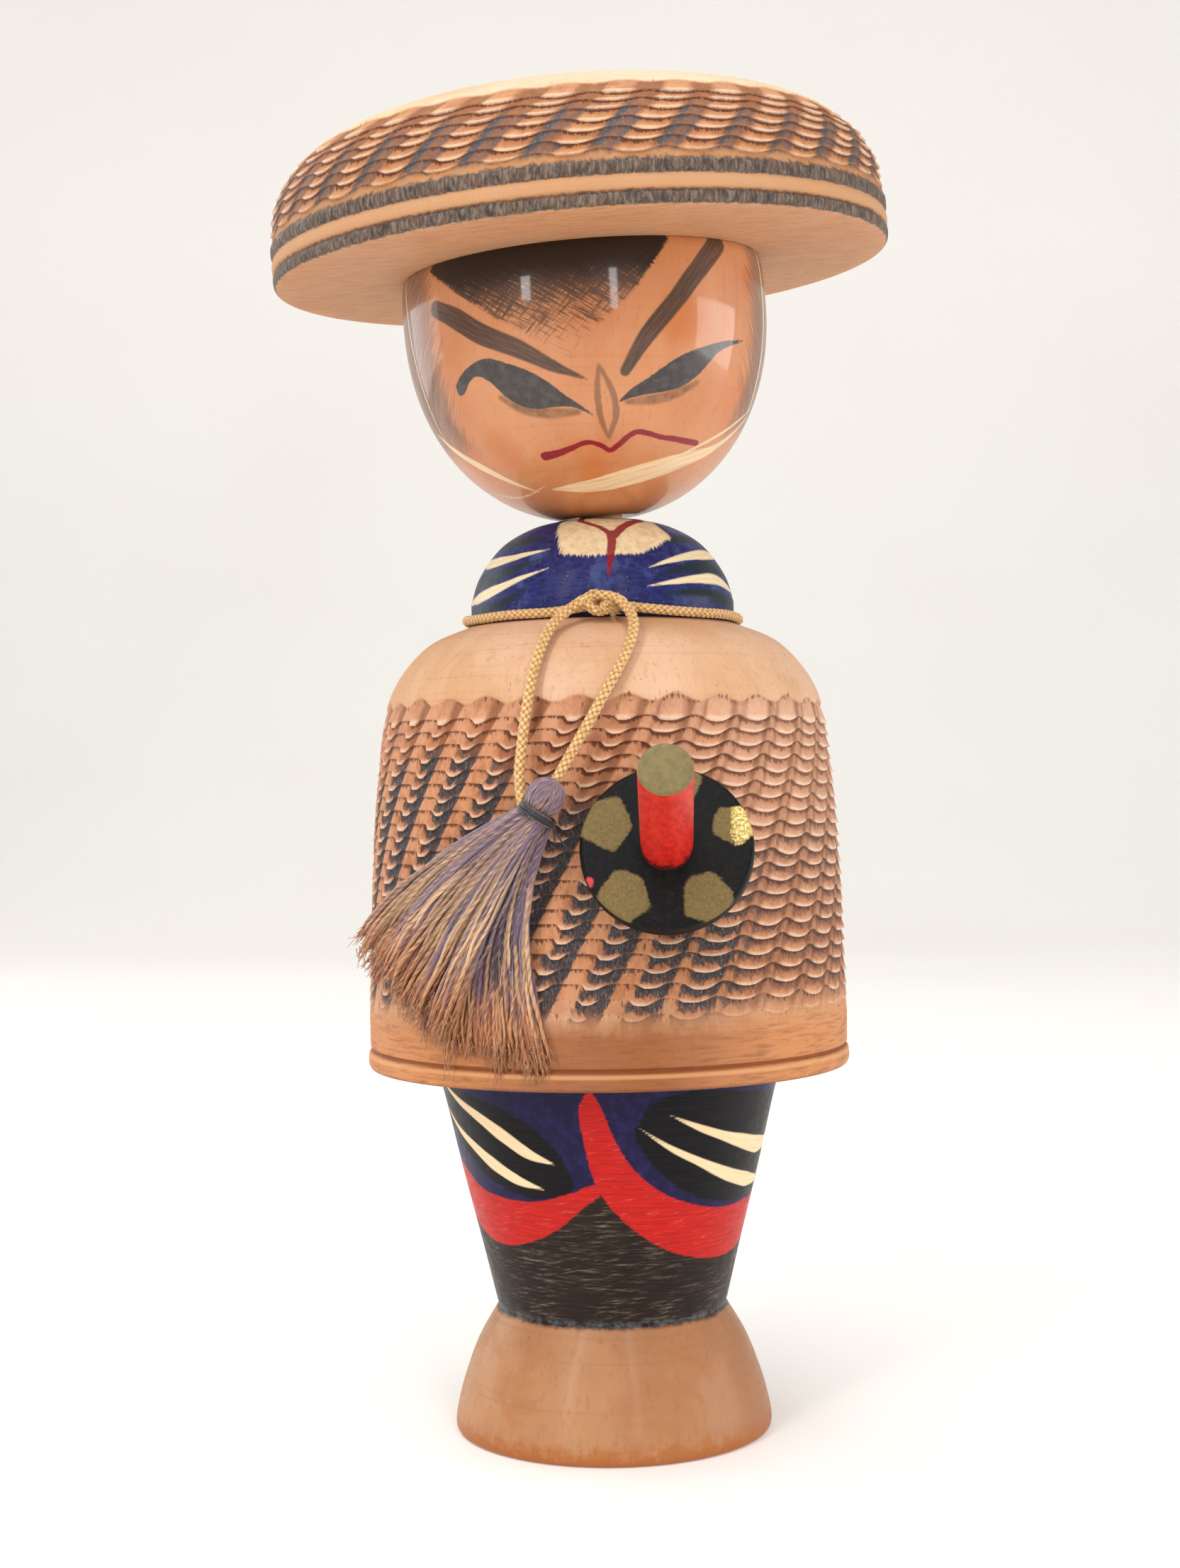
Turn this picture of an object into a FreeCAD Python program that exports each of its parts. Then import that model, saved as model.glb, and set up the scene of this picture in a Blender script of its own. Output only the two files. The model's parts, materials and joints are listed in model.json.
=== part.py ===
"""Turned wooden doll: a traveller in a round sedge hat and a cape, with a sword and a hanging tassel.

Millimetres. +Z is up, the face looks along -Y, and the origin is the middle of the foot's flat underside.
Every piece is one solid in one node.
"""
import FreeCAD, Part
import math
import os

Vector = FreeCAD.Vector
UP = Vector(0, 0, 1)
ORIGIN = Vector(0, 0, 0)

# Levels along the body's own axis
WAIST_Z = 17.4
HEM_Z = 50.4
CAPE_TOP_Z = 111.2
NECK_Z = 125.6

# Largest radii
FOOT_R = 22.0
WAIST_R = 15.9
LEGS_TOP_R = 24.0
HEM_R = 33.2
CAPE_TOP_R = 18.5
NECK_R = 6.5
HEAD_R = 25.2
HAT_R = 42.5

# Hem of the cape: a plain band below one turned groove
HEM_GROOVE_Z = 55.2
HEM_GROOVE_DEPTH = 0.4
HEM_GROOVE_HALF = 0.45
HEM_EDGE = 0.8

# Head and hat stand on an axis that leans forward and to the doll's own right
LEAN_SIDE_DEG = 3.8
LEAN_FRONT_DEG = 2.4
NECK_GAP = 0.75
HEAD_HEIGHT = 34.0
HEAD_FLAT_R = 5.5
HEAD_WIDEST_H = 28.0
HEAD_TOP_R = 24.6
HEAD_CURVE = 2.15
HAT_CROWN_H = 23.8
HAT_GROOVES_H = (1.9, 3.85)
HAT_GROOVE_DEPTH = 0.35
HAT_GROOVE_HALF = 0.3

# Joints between the turned pieces
LEGS_TENON = (11.0, 18.0)
SHOULDER_TENON = (9.0, 10.0)
HAT_TENON = (9.0, 5.0)
PEG_R = 3.0
PEG_DOWN = 11.0
PEG_UP = 14.0
PEG_PLAY = 0.05
PEG_END_ROOM = 1.0

# Sword: a round dowel through a disc guard, stuck in the front of the cape
GUARD_FRONT = Vector(7.2, -39.3, 81.5)
SWORD_YAW_DEG = -2.0
SWORD_RISE_DEG = 23.0
GUARD_R = 10.75
GUARD_THICK = 3.0
GUARD_EDGE = 0.7
GRIP_R = 3.25
GRIP_LENGTH = 24.0
GRIP_DEPTH = 18.0
GRIP_EDGE = 0.6

# Cord round the neck, and its knot
NECK_CORD_D = 1.4
NECK_CORD_RING_R = 18.95
NECK_CORD_Z = 111.95
KNOT = Vector(-0.3, -20.0, 112.6)
KNOT_R = 1.5
KNOT_HALF_LENGTH = 2.0

# The two limp strands that carry the tassel, from the knot to the tassel
STRAND_D = 1.5
LEFT_ROUTE = [
    (-2.7, -21.2, 113.2),
    (-4.9, -22.1, 111.8),
    (-7.2, -24.7, 109.2),
    (-8.8, -28.2, 104.9),
    (-9.9, -30.8, 99.6),
    (-10.6, -32.5, 94.1),
    (-11.1, -33.8, 89.6),
    (-10.5, -34.7, 86.6),
]
RIGHT_ROUTE = [
    (2.1, -21.3, 113.2),
    (3.5, -22.6, 111.7),
    (4.0, -25.2, 109.4),
    (2.9, -28.4, 106.0),
    (0.8, -30.9, 102.2),
    (-1.9, -32.6, 97.4),
    (-4.5, -34.1, 92.9),
    (-6.4, -35.2, 89.6),
]

# Tassel: a round head of thread, a bound neck and a flat fan of loose thread on the cape
TASSEL_HEAD = Vector(-7.7, -36.0, 87.6)
TASSEL_HEAD_R = 2.6
BINDING = Vector(-8.7, -35.8, 85.5)
BINDING_AXIS = Vector(-0.55, 0.08, -0.83)
BINDING_R = 2.6
BINDING_THICK = 1.7
SKIRT_GAP = 0.5
SKIRT_OUTER_R = 39.0
SKIRT_FAN = [
    (-6.6, 84.6),
    (-8.9, 76.0),
    (-7.9, 67.0),
    (-8.1, 54.2),
    (-17.4, 53.2),
    (-22.0, 56.5),
    (-25.8, 57.6),
    (-27.8, 61.2),
    (-32.2, 64.8),
    (-33.6, 67.2),
    (-20.3, 79.4),
    (-11.4, 86.6),
]


def lean_axis():
    """Unit vector along the leaning axis of the head."""
    axis = Vector(-math.tan(math.radians(LEAN_SIDE_DEG)), -math.tan(math.radians(LEAN_FRONT_DEG)), 1)
    return axis.normalize()


def sword_axis():
    """Unit vector from the cape out along the grip."""
    rise, yaw = math.radians(SWORD_RISE_DEG), math.radians(SWORD_YAW_DEG)
    return Vector(math.cos(rise) * math.sin(yaw), -math.cos(rise) * math.cos(yaw), math.sin(rise))


def smooth(*points):
    """A smooth edge through (radius, height) points."""
    curve = Part.BSplineCurve()
    curve.interpolate([Vector(r, 0, z) for r, z in points])
    return curve.toShape()


def straight(*points):
    """Straight edges through (radius, height) points."""
    ends = [Vector(r, 0, z) for r, z in points]
    return [Part.LineSegment(a, b).toShape() for a, b in zip(ends, ends[1:])]


def turned(edges):
    """The solid that an outline makes about the Z axis."""
    wire = Part.Wire(edges)
    solid = Part.Face(wire).revolve(ORIGIN, UP, 360)
    return solid.Solids[0]


def rod(start, along, radius, length):
    return Part.makeCylinder(radius, length, start, along)


def groove(radius, height, depth, half):
    """The three points of a small V groove, from below."""
    return (radius, height - half), (radius - depth, height), (radius, height + half)


def at_neck(shape):
    """Carry a shape from the Z axis to the leaning axis of the head."""
    foot = Vector(0, 0, NECK_Z) + lean_axis() * NECK_GAP
    shape.Placement = FreeCAD.Placement(foot, FreeCAD.Rotation(UP, lean_axis()))
    return shape


def make_legs():
    radius, height = LEGS_TENON
    foot = smooth((21.95, 1.0), (21.4, 4.4), (20.3, 8.1), (18.6, 12.4), (WAIST_R, WAIST_Z - 0.3))
    crease = straight((WAIST_R, WAIST_Z - 0.3), (WAIST_R + 0.1, WAIST_Z + 0.3))
    skirt = smooth(
        (WAIST_R + 0.1, WAIST_Z + 0.3),
        (17.9, 25.6),
        (20.4, 35.5),
        (22.7, 45.4),
        (LEGS_TOP_R, HEM_Z),
    )
    base = straight((0, 0), (FOOT_R - 0.9, 0), (FOOT_R - 0.15, 0.4), (21.95, 1.0))
    top = straight(
        (LEGS_TOP_R, HEM_Z),
        (radius, HEM_Z),
        (radius, HEM_Z + height),
        (0, HEM_Z + height),
        (0, 0),
    )
    return turned([*base, foot, *crease, skirt, *top])


def cape_side():
    """The upper outline of the cape, from the groove to the edge of its flat top."""
    return smooth(
        (33.25, HEM_GROOVE_Z + HEM_GROOVE_HALF),
        (33.2, 62.0),
        (32.6, 79.0),
        (31.9, 88.8),
        (30.6, 98.6),
        (28.7, 103.6),
        (24.4, 108.5),
        (CAPE_TOP_R, CAPE_TOP_Z),
    )


def make_cape(legs, shoulders, grip):
    bottom = straight(
        (0, HEM_Z),
        (HEM_R - HEM_EDGE, HEM_Z),
        (HEM_R, HEM_Z + HEM_EDGE),
        *groove(33.25, HEM_GROOVE_Z, HEM_GROOVE_DEPTH, HEM_GROOVE_HALF),
    )
    top = straight((CAPE_TOP_R, CAPE_TOP_Z), (0, CAPE_TOP_Z), (0, HEM_Z))
    whole = turned([*bottom, cape_side(), *top])
    return whole.cut(legs).cut(shoulders).cut(grip)


def make_shoulders(peg):
    radius, depth = SHOULDER_TENON
    foot_r = CAPE_TOP_R - 0.2
    dome = smooth((foot_r, 114.3), (17.2, 117.8), (14.0, 122.2), (10.0, 124.6), (NECK_R, NECK_Z))
    low = straight(
        (0, CAPE_TOP_Z - depth),
        (radius, CAPE_TOP_Z - depth),
        (radius, CAPE_TOP_Z),
        (foot_r, CAPE_TOP_Z),
        (foot_r, 114.3),
    )
    top = straight((NECK_R, NECK_Z), (0, NECK_Z), (0, CAPE_TOP_Z - depth))
    return turned([*low, dome, *top]).cut(peg)


def make_neck_peg():
    along = lean_axis()
    start = Vector(0, 0, NECK_Z) - along * PEG_DOWN
    return rod(start, along, PEG_R, PEG_DOWN + NECK_GAP + PEG_UP)


def head_radius(height):
    """Radius of the head at a height above its flat underside, up to its widest level."""
    drop = (HEAD_FLAT_R / HEAD_R) ** HEAD_CURVE
    reach = HEAD_WIDEST_H / (1 - drop) ** (1 / HEAD_CURVE)
    part = (HEAD_WIDEST_H - height) / reach
    return HEAD_R * (1 - part**HEAD_CURVE) ** (1 / HEAD_CURVE)


def make_head():
    radius, length = HAT_TENON
    levels = [0, 1.2, 3.5, 7.5, 13.0, 20.0, HEAD_WIDEST_H]
    jaw = smooth(*[(head_radius(h), h) for h in levels], (25.1, 31.5), (HEAD_TOP_R, HEAD_HEIGHT))
    tenon = straight(
        (HEAD_TOP_R, HEAD_HEIGHT),
        (radius, HEAD_HEIGHT),
        (radius, HEAD_HEIGHT + length),
        (0, HEAD_HEIGHT + length),
        (0, 0),
        (HEAD_FLAT_R, 0),
    )
    whole = turned([jaw, *tenon])
    bore = rod(Vector(0, 0, -1), UP, PEG_R + PEG_PLAY, 1 + PEG_UP + PEG_END_ROOM)
    return at_neck(whole.cut(bore))


def make_hat():
    radius, length = HAT_TENON
    grooves = [
        point
        for level in HAT_GROOVES_H
        for point in groove(HAT_R, level, HAT_GROOVE_DEPTH, HAT_GROOVE_HALF)
    ]
    rim = straight((0, 0), (HAT_R - 0.7, 0), (HAT_R, 0.8), *grooves, (HAT_R, 6.6))
    crown = smooth(
        (HAT_R, 6.6),
        (41.9, 10.4),
        (40.2, 13.6),
        (36.6, 16.8),
        (30.9, 19.3),
        (19.5, 22.0),
        (0, HAT_CROWN_H),
    )
    whole = turned([*rim, crown, *straight((0, HAT_CROWN_H), (0, 0))])
    whole = whole.cut(rod(ORIGIN, UP, radius, length))
    whole.translate(Vector(0, 0, HEAD_HEIGHT))
    holder = Part.Compound([whole])
    return at_neck(holder).Solids[0]


def make_sword_grip():
    along = sword_axis()
    start = GUARD_FRONT - along * GRIP_DEPTH
    grip = rod(start, along, GRIP_R, GRIP_DEPTH + GRIP_LENGTH)
    far = max(grip.Edges, key=lambda edge: edge.CenterOfMass.z if edge.isClosed() else -1)
    return grip.makeFillet(GRIP_EDGE, [far])


def make_sword_guard():
    along = sword_axis()
    disc = rod(GUARD_FRONT - along * GUARD_THICK, along, GUARD_R, GUARD_THICK)
    rims = [edge for edge in disc.Edges if edge.isClosed()]
    disc = disc.makeFillet(GUARD_EDGE, rims)
    return disc.cut(rod(GUARD_FRONT - along * GRIP_DEPTH, along, GRIP_R, 2 * GRIP_DEPTH))


def make_knot():
    """A short bar with round ends, lying across the front of the neck."""
    half = KNOT_HALF_LENGTH - KNOT_R
    bar = rod(KNOT - Vector(half, 0, 0), Vector(1, 0, 0), KNOT_R, 2 * half)
    ends = [Part.makeSphere(KNOT_R, KNOT + Vector(side * half, 0, 0)) for side in (-1, 1)]
    return bar.fuse(ends).removeSplitter()


def make_neck_cord(knot):
    ring = Part.makeTorus(NECK_CORD_RING_R, NECK_CORD_D / 2, Vector(0, 0, NECK_CORD_Z), UP)
    return ring.cut(knot)


def strand(route):
    """A round cord: straight runs joined by arcs, each as large as its two runs allow."""
    points = [Vector(*point) for point in route]
    edges, reached = [], points[0]
    for before, corner, after in zip(points, points[1:], points[2:]):
        a, b = (before - corner), (after - corner)
        cut = 0.45 * min(a.Length, b.Length)
        a.normalize()
        b.normalize()
        turn = math.pi - a.getAngle(b)
        radius = cut / math.tan(turn / 2)
        start, end = corner + a * cut, corner + b * cut
        inward = (a + b).normalize()
        middle = corner + inward * (radius / math.cos(turn / 2) - radius)
        edges.append(Part.LineSegment(reached, start).toShape())
        edges.append(Part.Arc(start, middle, end).toShape())
        reached = end
        print(f"  turn {math.degrees(turn):.0f} deg, radius {radius:.1f} mm")
    edges.append(Part.LineSegment(reached, points[-1]).toShape())
    path = Part.Wire(edges)
    section = Part.Wire(Part.makeCircle(STRAND_D / 2, points[0], points[1] - points[0]))
    tube = path.makePipeShell([section], True, False)
    whole = math.pi * (STRAND_D / 2) ** 2 * path.Length
    print(f"  strand {path.Length:.1f} mm long, volume {tube.Volume:.2f} of {whole:.2f} mm3")
    return tube.Solids[0]


def make_binding():
    along = Vector(BINDING_AXIS).normalize()
    return rod(BINDING - along * (BINDING_THICK / 2), along, BINDING_R, BINDING_THICK)


def make_skirt(binding, head):
    """A fan-shaped slab that follows the front of the cape a little way off it."""
    face = Part.Face(Part.makePolygon([Vector(x, 0, z) for x, z in [*SKIRT_FAN, SKIRT_FAN[0]]]))
    fan = face.extrude(Vector(0, -2 * SKIRT_OUTER_R, 0))
    low, high = 52.0, 90.0
    inner = smooth(
        (33.3 + SKIRT_GAP, low),
        (33.25 + SKIRT_GAP, 62.0),
        (32.7 + SKIRT_GAP, 79.0),
        (31.9 + SKIRT_GAP + 0.6, high),
    )
    outer = straight((31.9 + SKIRT_GAP + 0.6, high), (SKIRT_OUTER_R, high), (SKIRT_OUTER_R, low))
    shell = turned([inner, *outer, *straight((SKIRT_OUTER_R, low), (33.3 + SKIRT_GAP, low))])
    return fan.common(shell).cut(binding).cut(head).Solids[0]


def save(node, shape):
    solid = max(shape.Solids, key=lambda piece: piece.Volume)
    if not solid.isValid():
        raise ValueError(f"{node} isn't a valid solid")
    solid.exportStep(f"parts/{node}.step")
    print(f"{node}: {solid.Volume:.1f} mm3")


def main():
    os.makedirs("parts", exist_ok=True)
    legs = make_legs()
    peg = make_neck_peg()
    grip = make_sword_grip()
    shoulders = make_shoulders(peg)
    knot = make_knot()
    binding = make_binding()
    tassel_head = Part.makeSphere(TASSEL_HEAD_R, TASSEL_HEAD).cut(binding)
    save("legs", legs)
    save("cape", make_cape(legs, shoulders, grip))
    save("shoulders", shoulders)
    save("neck_peg", peg)
    save("head", make_head())
    save("hat", make_hat())
    save("sword_grip", grip)
    save("sword_guard", make_sword_guard())
    save("neck_cord", make_neck_cord(knot))
    save("neck_knot", knot)
    save("tassel_cord_left", strand(LEFT_ROUTE))
    save("tassel_cord_right", strand(RIGHT_ROUTE))
    save("tassel_head", tassel_head)
    save("tassel_binding", binding)
    save("tassel_skirt", make_skirt(binding, tassel_head))


main()
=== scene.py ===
import json
import math

import bpy
import numpy as np
from mathutils import Matrix, Vector


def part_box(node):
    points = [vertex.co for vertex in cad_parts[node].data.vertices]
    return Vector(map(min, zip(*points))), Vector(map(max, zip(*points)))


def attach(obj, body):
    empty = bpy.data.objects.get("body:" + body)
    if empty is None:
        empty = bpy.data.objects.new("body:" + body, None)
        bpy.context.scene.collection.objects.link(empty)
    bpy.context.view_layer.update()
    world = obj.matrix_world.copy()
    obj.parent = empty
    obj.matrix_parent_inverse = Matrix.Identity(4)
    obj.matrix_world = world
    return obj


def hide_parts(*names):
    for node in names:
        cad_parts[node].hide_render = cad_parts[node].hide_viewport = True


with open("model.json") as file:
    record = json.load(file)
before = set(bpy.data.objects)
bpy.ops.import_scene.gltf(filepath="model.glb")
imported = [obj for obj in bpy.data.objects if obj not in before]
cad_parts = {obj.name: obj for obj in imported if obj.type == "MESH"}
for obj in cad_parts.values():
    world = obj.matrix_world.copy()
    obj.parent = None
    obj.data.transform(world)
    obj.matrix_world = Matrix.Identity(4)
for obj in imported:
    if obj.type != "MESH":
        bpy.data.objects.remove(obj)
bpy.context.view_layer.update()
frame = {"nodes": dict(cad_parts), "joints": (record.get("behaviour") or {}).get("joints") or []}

# Everything below is worked out in millimetres and degrees, and turned into metres as a mesh is made.
# A place on a turned piece is (angle, height): the angle runs from the doll's front, -Y, towards +X.
MM = 0.001
UP = np.array([0.0, 0.0, 1.0])
ACROSS = np.array([1.0, 0.0, 0.0])


# ---------------------------------------------------------------- frames of the turned pieces


class Frame:
    """The axis of a turned piece: where its height starts, and which way is front."""

    def __init__(self, origin, up):
        self.origin = np.array(origin, float)
        self.up = np.array(up, float) / np.linalg.norm(up)
        side = ACROSS - self.up * self.up.dot(ACROSS)
        self.side = side / np.linalg.norm(side)
        self.back = np.cross(self.up, self.side)

    def place(self, radius, angle, height):
        """Points in the row frame, in millimetres."""
        radius, turn, height = np.broadcast_arrays(radius, np.radians(angle), height)
        return (
            self.origin
            + (radius * np.sin(turn))[..., None] * self.side
            - (radius * np.cos(turn))[..., None] * self.back
            + height[..., None] * self.up
        )


NECK_GAP = 0.75
HEAD_HEIGHT = 34.0
HAT_R = 42.5
HEAD_JOINT = next(joint for joint in frame["joints"] if joint["name"] == "head_turn")
NECK = np.array(HEAD_JOINT["pos_m"]) / MM
LEAN = np.array(HEAD_JOINT["axis"]) / np.linalg.norm(HEAD_JOINT["axis"])
BODY = Frame((0, 0, 0), UP)
HEAD = Frame(NECK + LEAN * NECK_GAP, LEAN)
HAT = Frame(HEAD.origin + LEAN * HEAD_HEIGHT, LEAN)

HEM_Z, CAPE_TOP_Z = (corner[2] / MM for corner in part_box("cape"))
DOME_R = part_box("shoulders")[1][0] / MM


# ---------------------------------------------------------------- curves and outlines


def ease(value, start, end):
    """Smoothly from 0 to 1 as value goes from start to end."""
    t = np.clip((np.asarray(value, float) - start) / (end - start), 0, 1)
    return t * t * (3 - 2 * t)


def smooth(points, step=0.4):
    """A smooth line through points, about step apart, that starts and ends on the first and last."""
    p = np.array(points, float)
    ends = np.vstack([2 * p[0] - p[1], p, 2 * p[-1] - p[-2]])

    def between(start, end, t0, t1):
        return start + (end - start) * (t - t0) / (t1 - t0)

    out = []
    for a, b, c, d in zip(ends, ends[1:], ends[2:], ends[3:]):
        t1 = np.linalg.norm(b - a) ** 0.5 + 1e-6
        t2 = t1 + np.linalg.norm(c - b) ** 0.5 + 1e-6
        t3 = t2 + np.linalg.norm(d - c) ** 0.5 + 1e-6
        count = max(2, math.ceil(np.linalg.norm(c - b) / step))
        t = np.linspace(t1, t2, count, endpoint=False)[:, None]
        bc = between(b, c, t1, t2)
        abc = between(between(a, b, 0.0, t1), bc, 0.0, t2)
        bcd = between(bc, between(c, d, t2, t3), t1, t3)
        out.append(between(abc, bcd, t1, t2))
    return np.vstack([*out, p[-1:]])


def straight(points, step=0.8):
    """Straight runs through points, divided about every step."""
    p = np.array(points, float)
    out = []
    for a, b in zip(p, p[1:]):
        count = max(1, math.ceil(np.linalg.norm(b - a) / step))
        out.append(a + (b - a) * (np.arange(count) / count)[:, None])
    return np.vstack([*out, p[-1:]])


def joined(*parts):
    """Outlines end to end, with the shared points kept once."""
    rows = [parts[0]]
    for part in parts[1:]:
        rows.append(part[1:] if np.allclose(part[0], rows[-1][-1]) else part)
    return np.vstack(rows)


def rounded_corner(corner_r, corner_h, size, first, last, steps=4):
    """A round of that size in the corner of an outline, between two headings in degrees."""
    turn = np.radians(np.linspace(first, last, steps + 1))
    return np.stack([corner_r - size + size * np.cos(turn), corner_h + size * np.sin(turn)], -1)


def spacing(line):
    """Distance along a line of points, from its start."""
    return np.concatenate([[0.0], np.cumsum(np.linalg.norm(np.diff(line, axis=0), axis=1))])


def evenly(line, count):
    """The same line as count points, evenly spaced."""
    run = spacing(line)
    at = np.linspace(0, run[-1], count)
    return np.stack([np.interp(at, run, line[:, axis]) for axis in range(3)], -1)


def carried(line, closed=False):
    """Two directions across the line that turn as little as they can."""
    tangent = np.roll(line, -1, 0) - np.roll(line, 1, 0) if closed else np.gradient(line, axis=0)
    tangent /= np.linalg.norm(tangent, axis=1)[:, None] + 1e-12
    normal = np.cross(tangent[0], UP if abs(tangent[0][2]) < 0.9 else ACROSS)
    normals = []
    for t in tangent:
        normal = normal - t * normal.dot(t)
        normal = normal / np.linalg.norm(normal)
        normals.append(normal)
    return np.array(normals), np.cross(tangent, normals)


# ---------------------------------------------------------------- meshes


def piece(name, mesh_parts, body, node, material):
    """A smooth mesh from (points, faces, values), which rides on a body and stands for a CAD node."""
    points, faces, values = mesh_parts
    mesh = bpy.data.meshes.new(name)
    mesh.from_pydata((points * MM).tolist(), [], faces)
    for key, value in values.items():
        kind, field = ("FLOAT", "value") if value.ndim == 1 else ("FLOAT_VECTOR", "vector")
        mesh.attributes.new(key, kind, "POINT").data.foreach_set(field, value.astype(np.float32).ravel())
    mesh.polygons.foreach_set("use_smooth", [True] * len(mesh.polygons))
    mesh.update()
    obj = bpy.data.objects.new(name, mesh)
    bpy.context.scene.collection.objects.link(obj)
    obj.data.materials.append(material)
    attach(obj, body)
    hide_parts(node)
    return obj


def grid_faces(rows, columns, closed=False):
    """Quads between the rings of a grid of points, and from the last to the first if it is closed."""
    here = np.arange(rows * columns).reshape(rows, columns)
    beside = np.roll(here, -1, 1)
    quads = np.stack([here, beside, np.roll(beside, -1, 0), np.roll(here, -1, 0)], -1)
    return (quads if closed else quads[:-1]).reshape(-1, 4).tolist()


def tube_faces(rows, columns):
    """Quads between the rings, and fans that close the two ends on the two points that follow the grid."""
    start, last = rows * columns, (rows - 1) * columns
    faces = grid_faces(rows, columns)
    for c in range(columns):
        n = (c + 1) % columns
        faces.append([start, n, c])
        faces.append([start + 1, last + c, last + n])
    return faces


def turned_piece(name, grid, body, node, material, values):
    """A closed piece from rings of points, the lowest first, with each end closed to its middle."""
    rows, columns = grid.shape[:2]

    def with_ends(field):
        middles = field[[0, -1]].mean(1).reshape(2, -1)
        return np.vstack([field.reshape(rows * columns, -1), middles]).squeeze()

    values = {key: with_ends(value) for key, value in values.items()}
    return piece(name, (with_ends(grid), tube_faces(rows, columns), values), body, node, material)


def ring_angles(columns):
    """Angles of a ring's points, with the seam at the back."""
    return -180 + 360 * np.arange(columns) / columns


def together(*parts):
    """Several (points, faces, values) as one."""
    points, faces, values, first = [], [], {}, 0
    for part_points, part_faces, part_values in parts:
        points.append(part_points)
        faces += [[first + i for i in face] for face in part_faces]
        for key, value in part_values.items():
            values.setdefault(key, []).append(value)
        first += len(part_points)
    return np.vstack(points), faces, {key: np.concatenate(value) for key, value in values.items()}


def tubes(lines, radii, sides, tones=None):
    """Round tubes along lines. Gives points, faces and values.

    The values are along, from 0 to 1, run, in millimetres, tone, and twice, which is the cosine and sine of
    twice the angle round the tube.
    """
    turn = np.linspace(0, 2 * math.pi, sides, endpoint=False)
    twice = np.stack([np.cos(2 * turn), np.sin(2 * turn), 0 * turn], -1)
    parts = []
    for index, line in enumerate(lines):
        line = np.asarray(line, float)
        normal, side = (way[:, None] for way in carried(line))
        radius = np.broadcast_to(radii[index], len(line))[:, None, None]
        rings = line[:, None] + radius * (np.cos(turn)[:, None] * normal + np.sin(turn)[:, None] * side)
        run = spacing(line)
        values = {
            "along": np.append(np.repeat(run / run[-1], sides), [0, 1]),
            "run": np.append(np.repeat(run, sides), [0, run[-1]]),
            "tone": np.full(len(line) * sides + 2, tones[index] if tones else 0.5),
            "twice": np.vstack([np.tile(twice, (len(line), 1)), np.zeros((2, 3))]),
        }
        points = np.vstack([rings.reshape(-1, 3), line[[0, -1]]])
        parts.append((points, tube_faces(len(line), sides), values))
    return together(*parts)


# ---------------------------------------------------------------- materials


def colour(code):
    """Linear colour from a web colour code."""
    parts = [int(code[i:i + 2], 16) / 255 for i in (1, 3, 5)]
    return (*[c / 12.92 if c <= 0.04045 else ((c + 0.055) / 1.055) ** 2.4 for c in parts], 1.0)


class Value:
    """A value that changes over a surface. It adds and multiplies with numbers and other values."""

    def __init__(self, paint, socket):
        self.paint = paint
        self.socket = socket

    def __add__(self, other):
        return self.paint.math("ADD", self, other)

    def __sub__(self, other):
        return self.paint.math("SUBTRACT", self, other)

    def __mul__(self, other):
        return self.paint.math("MULTIPLY", self, other)

    def step(self, start, end, to_start=0.0, to_end=1.0):
        """Smoothly from to_start to to_end as this goes from start to end."""
        return self.paint.node(
            "ShaderNodeMapRange",
            {0: self, 1: start, 2: end, 3: to_start, 4: to_end},
            interpolation_type="SMOOTHSTEP",
        )

    def edge(self, noise, ragged, soft):
        """Cover from this distance in millimetres inside an edge, made ragged by a noise."""
        return ((noise - 0.5) * ragged + self).step(-soft, soft)

    def line(self, middle, half, fade, cover):
        """A line where this is near the middle, half wide on each side before it fades out."""
        return self.paint.math("ABSOLUTE", self - middle).step(half, fade, cover, 0.0)


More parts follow.
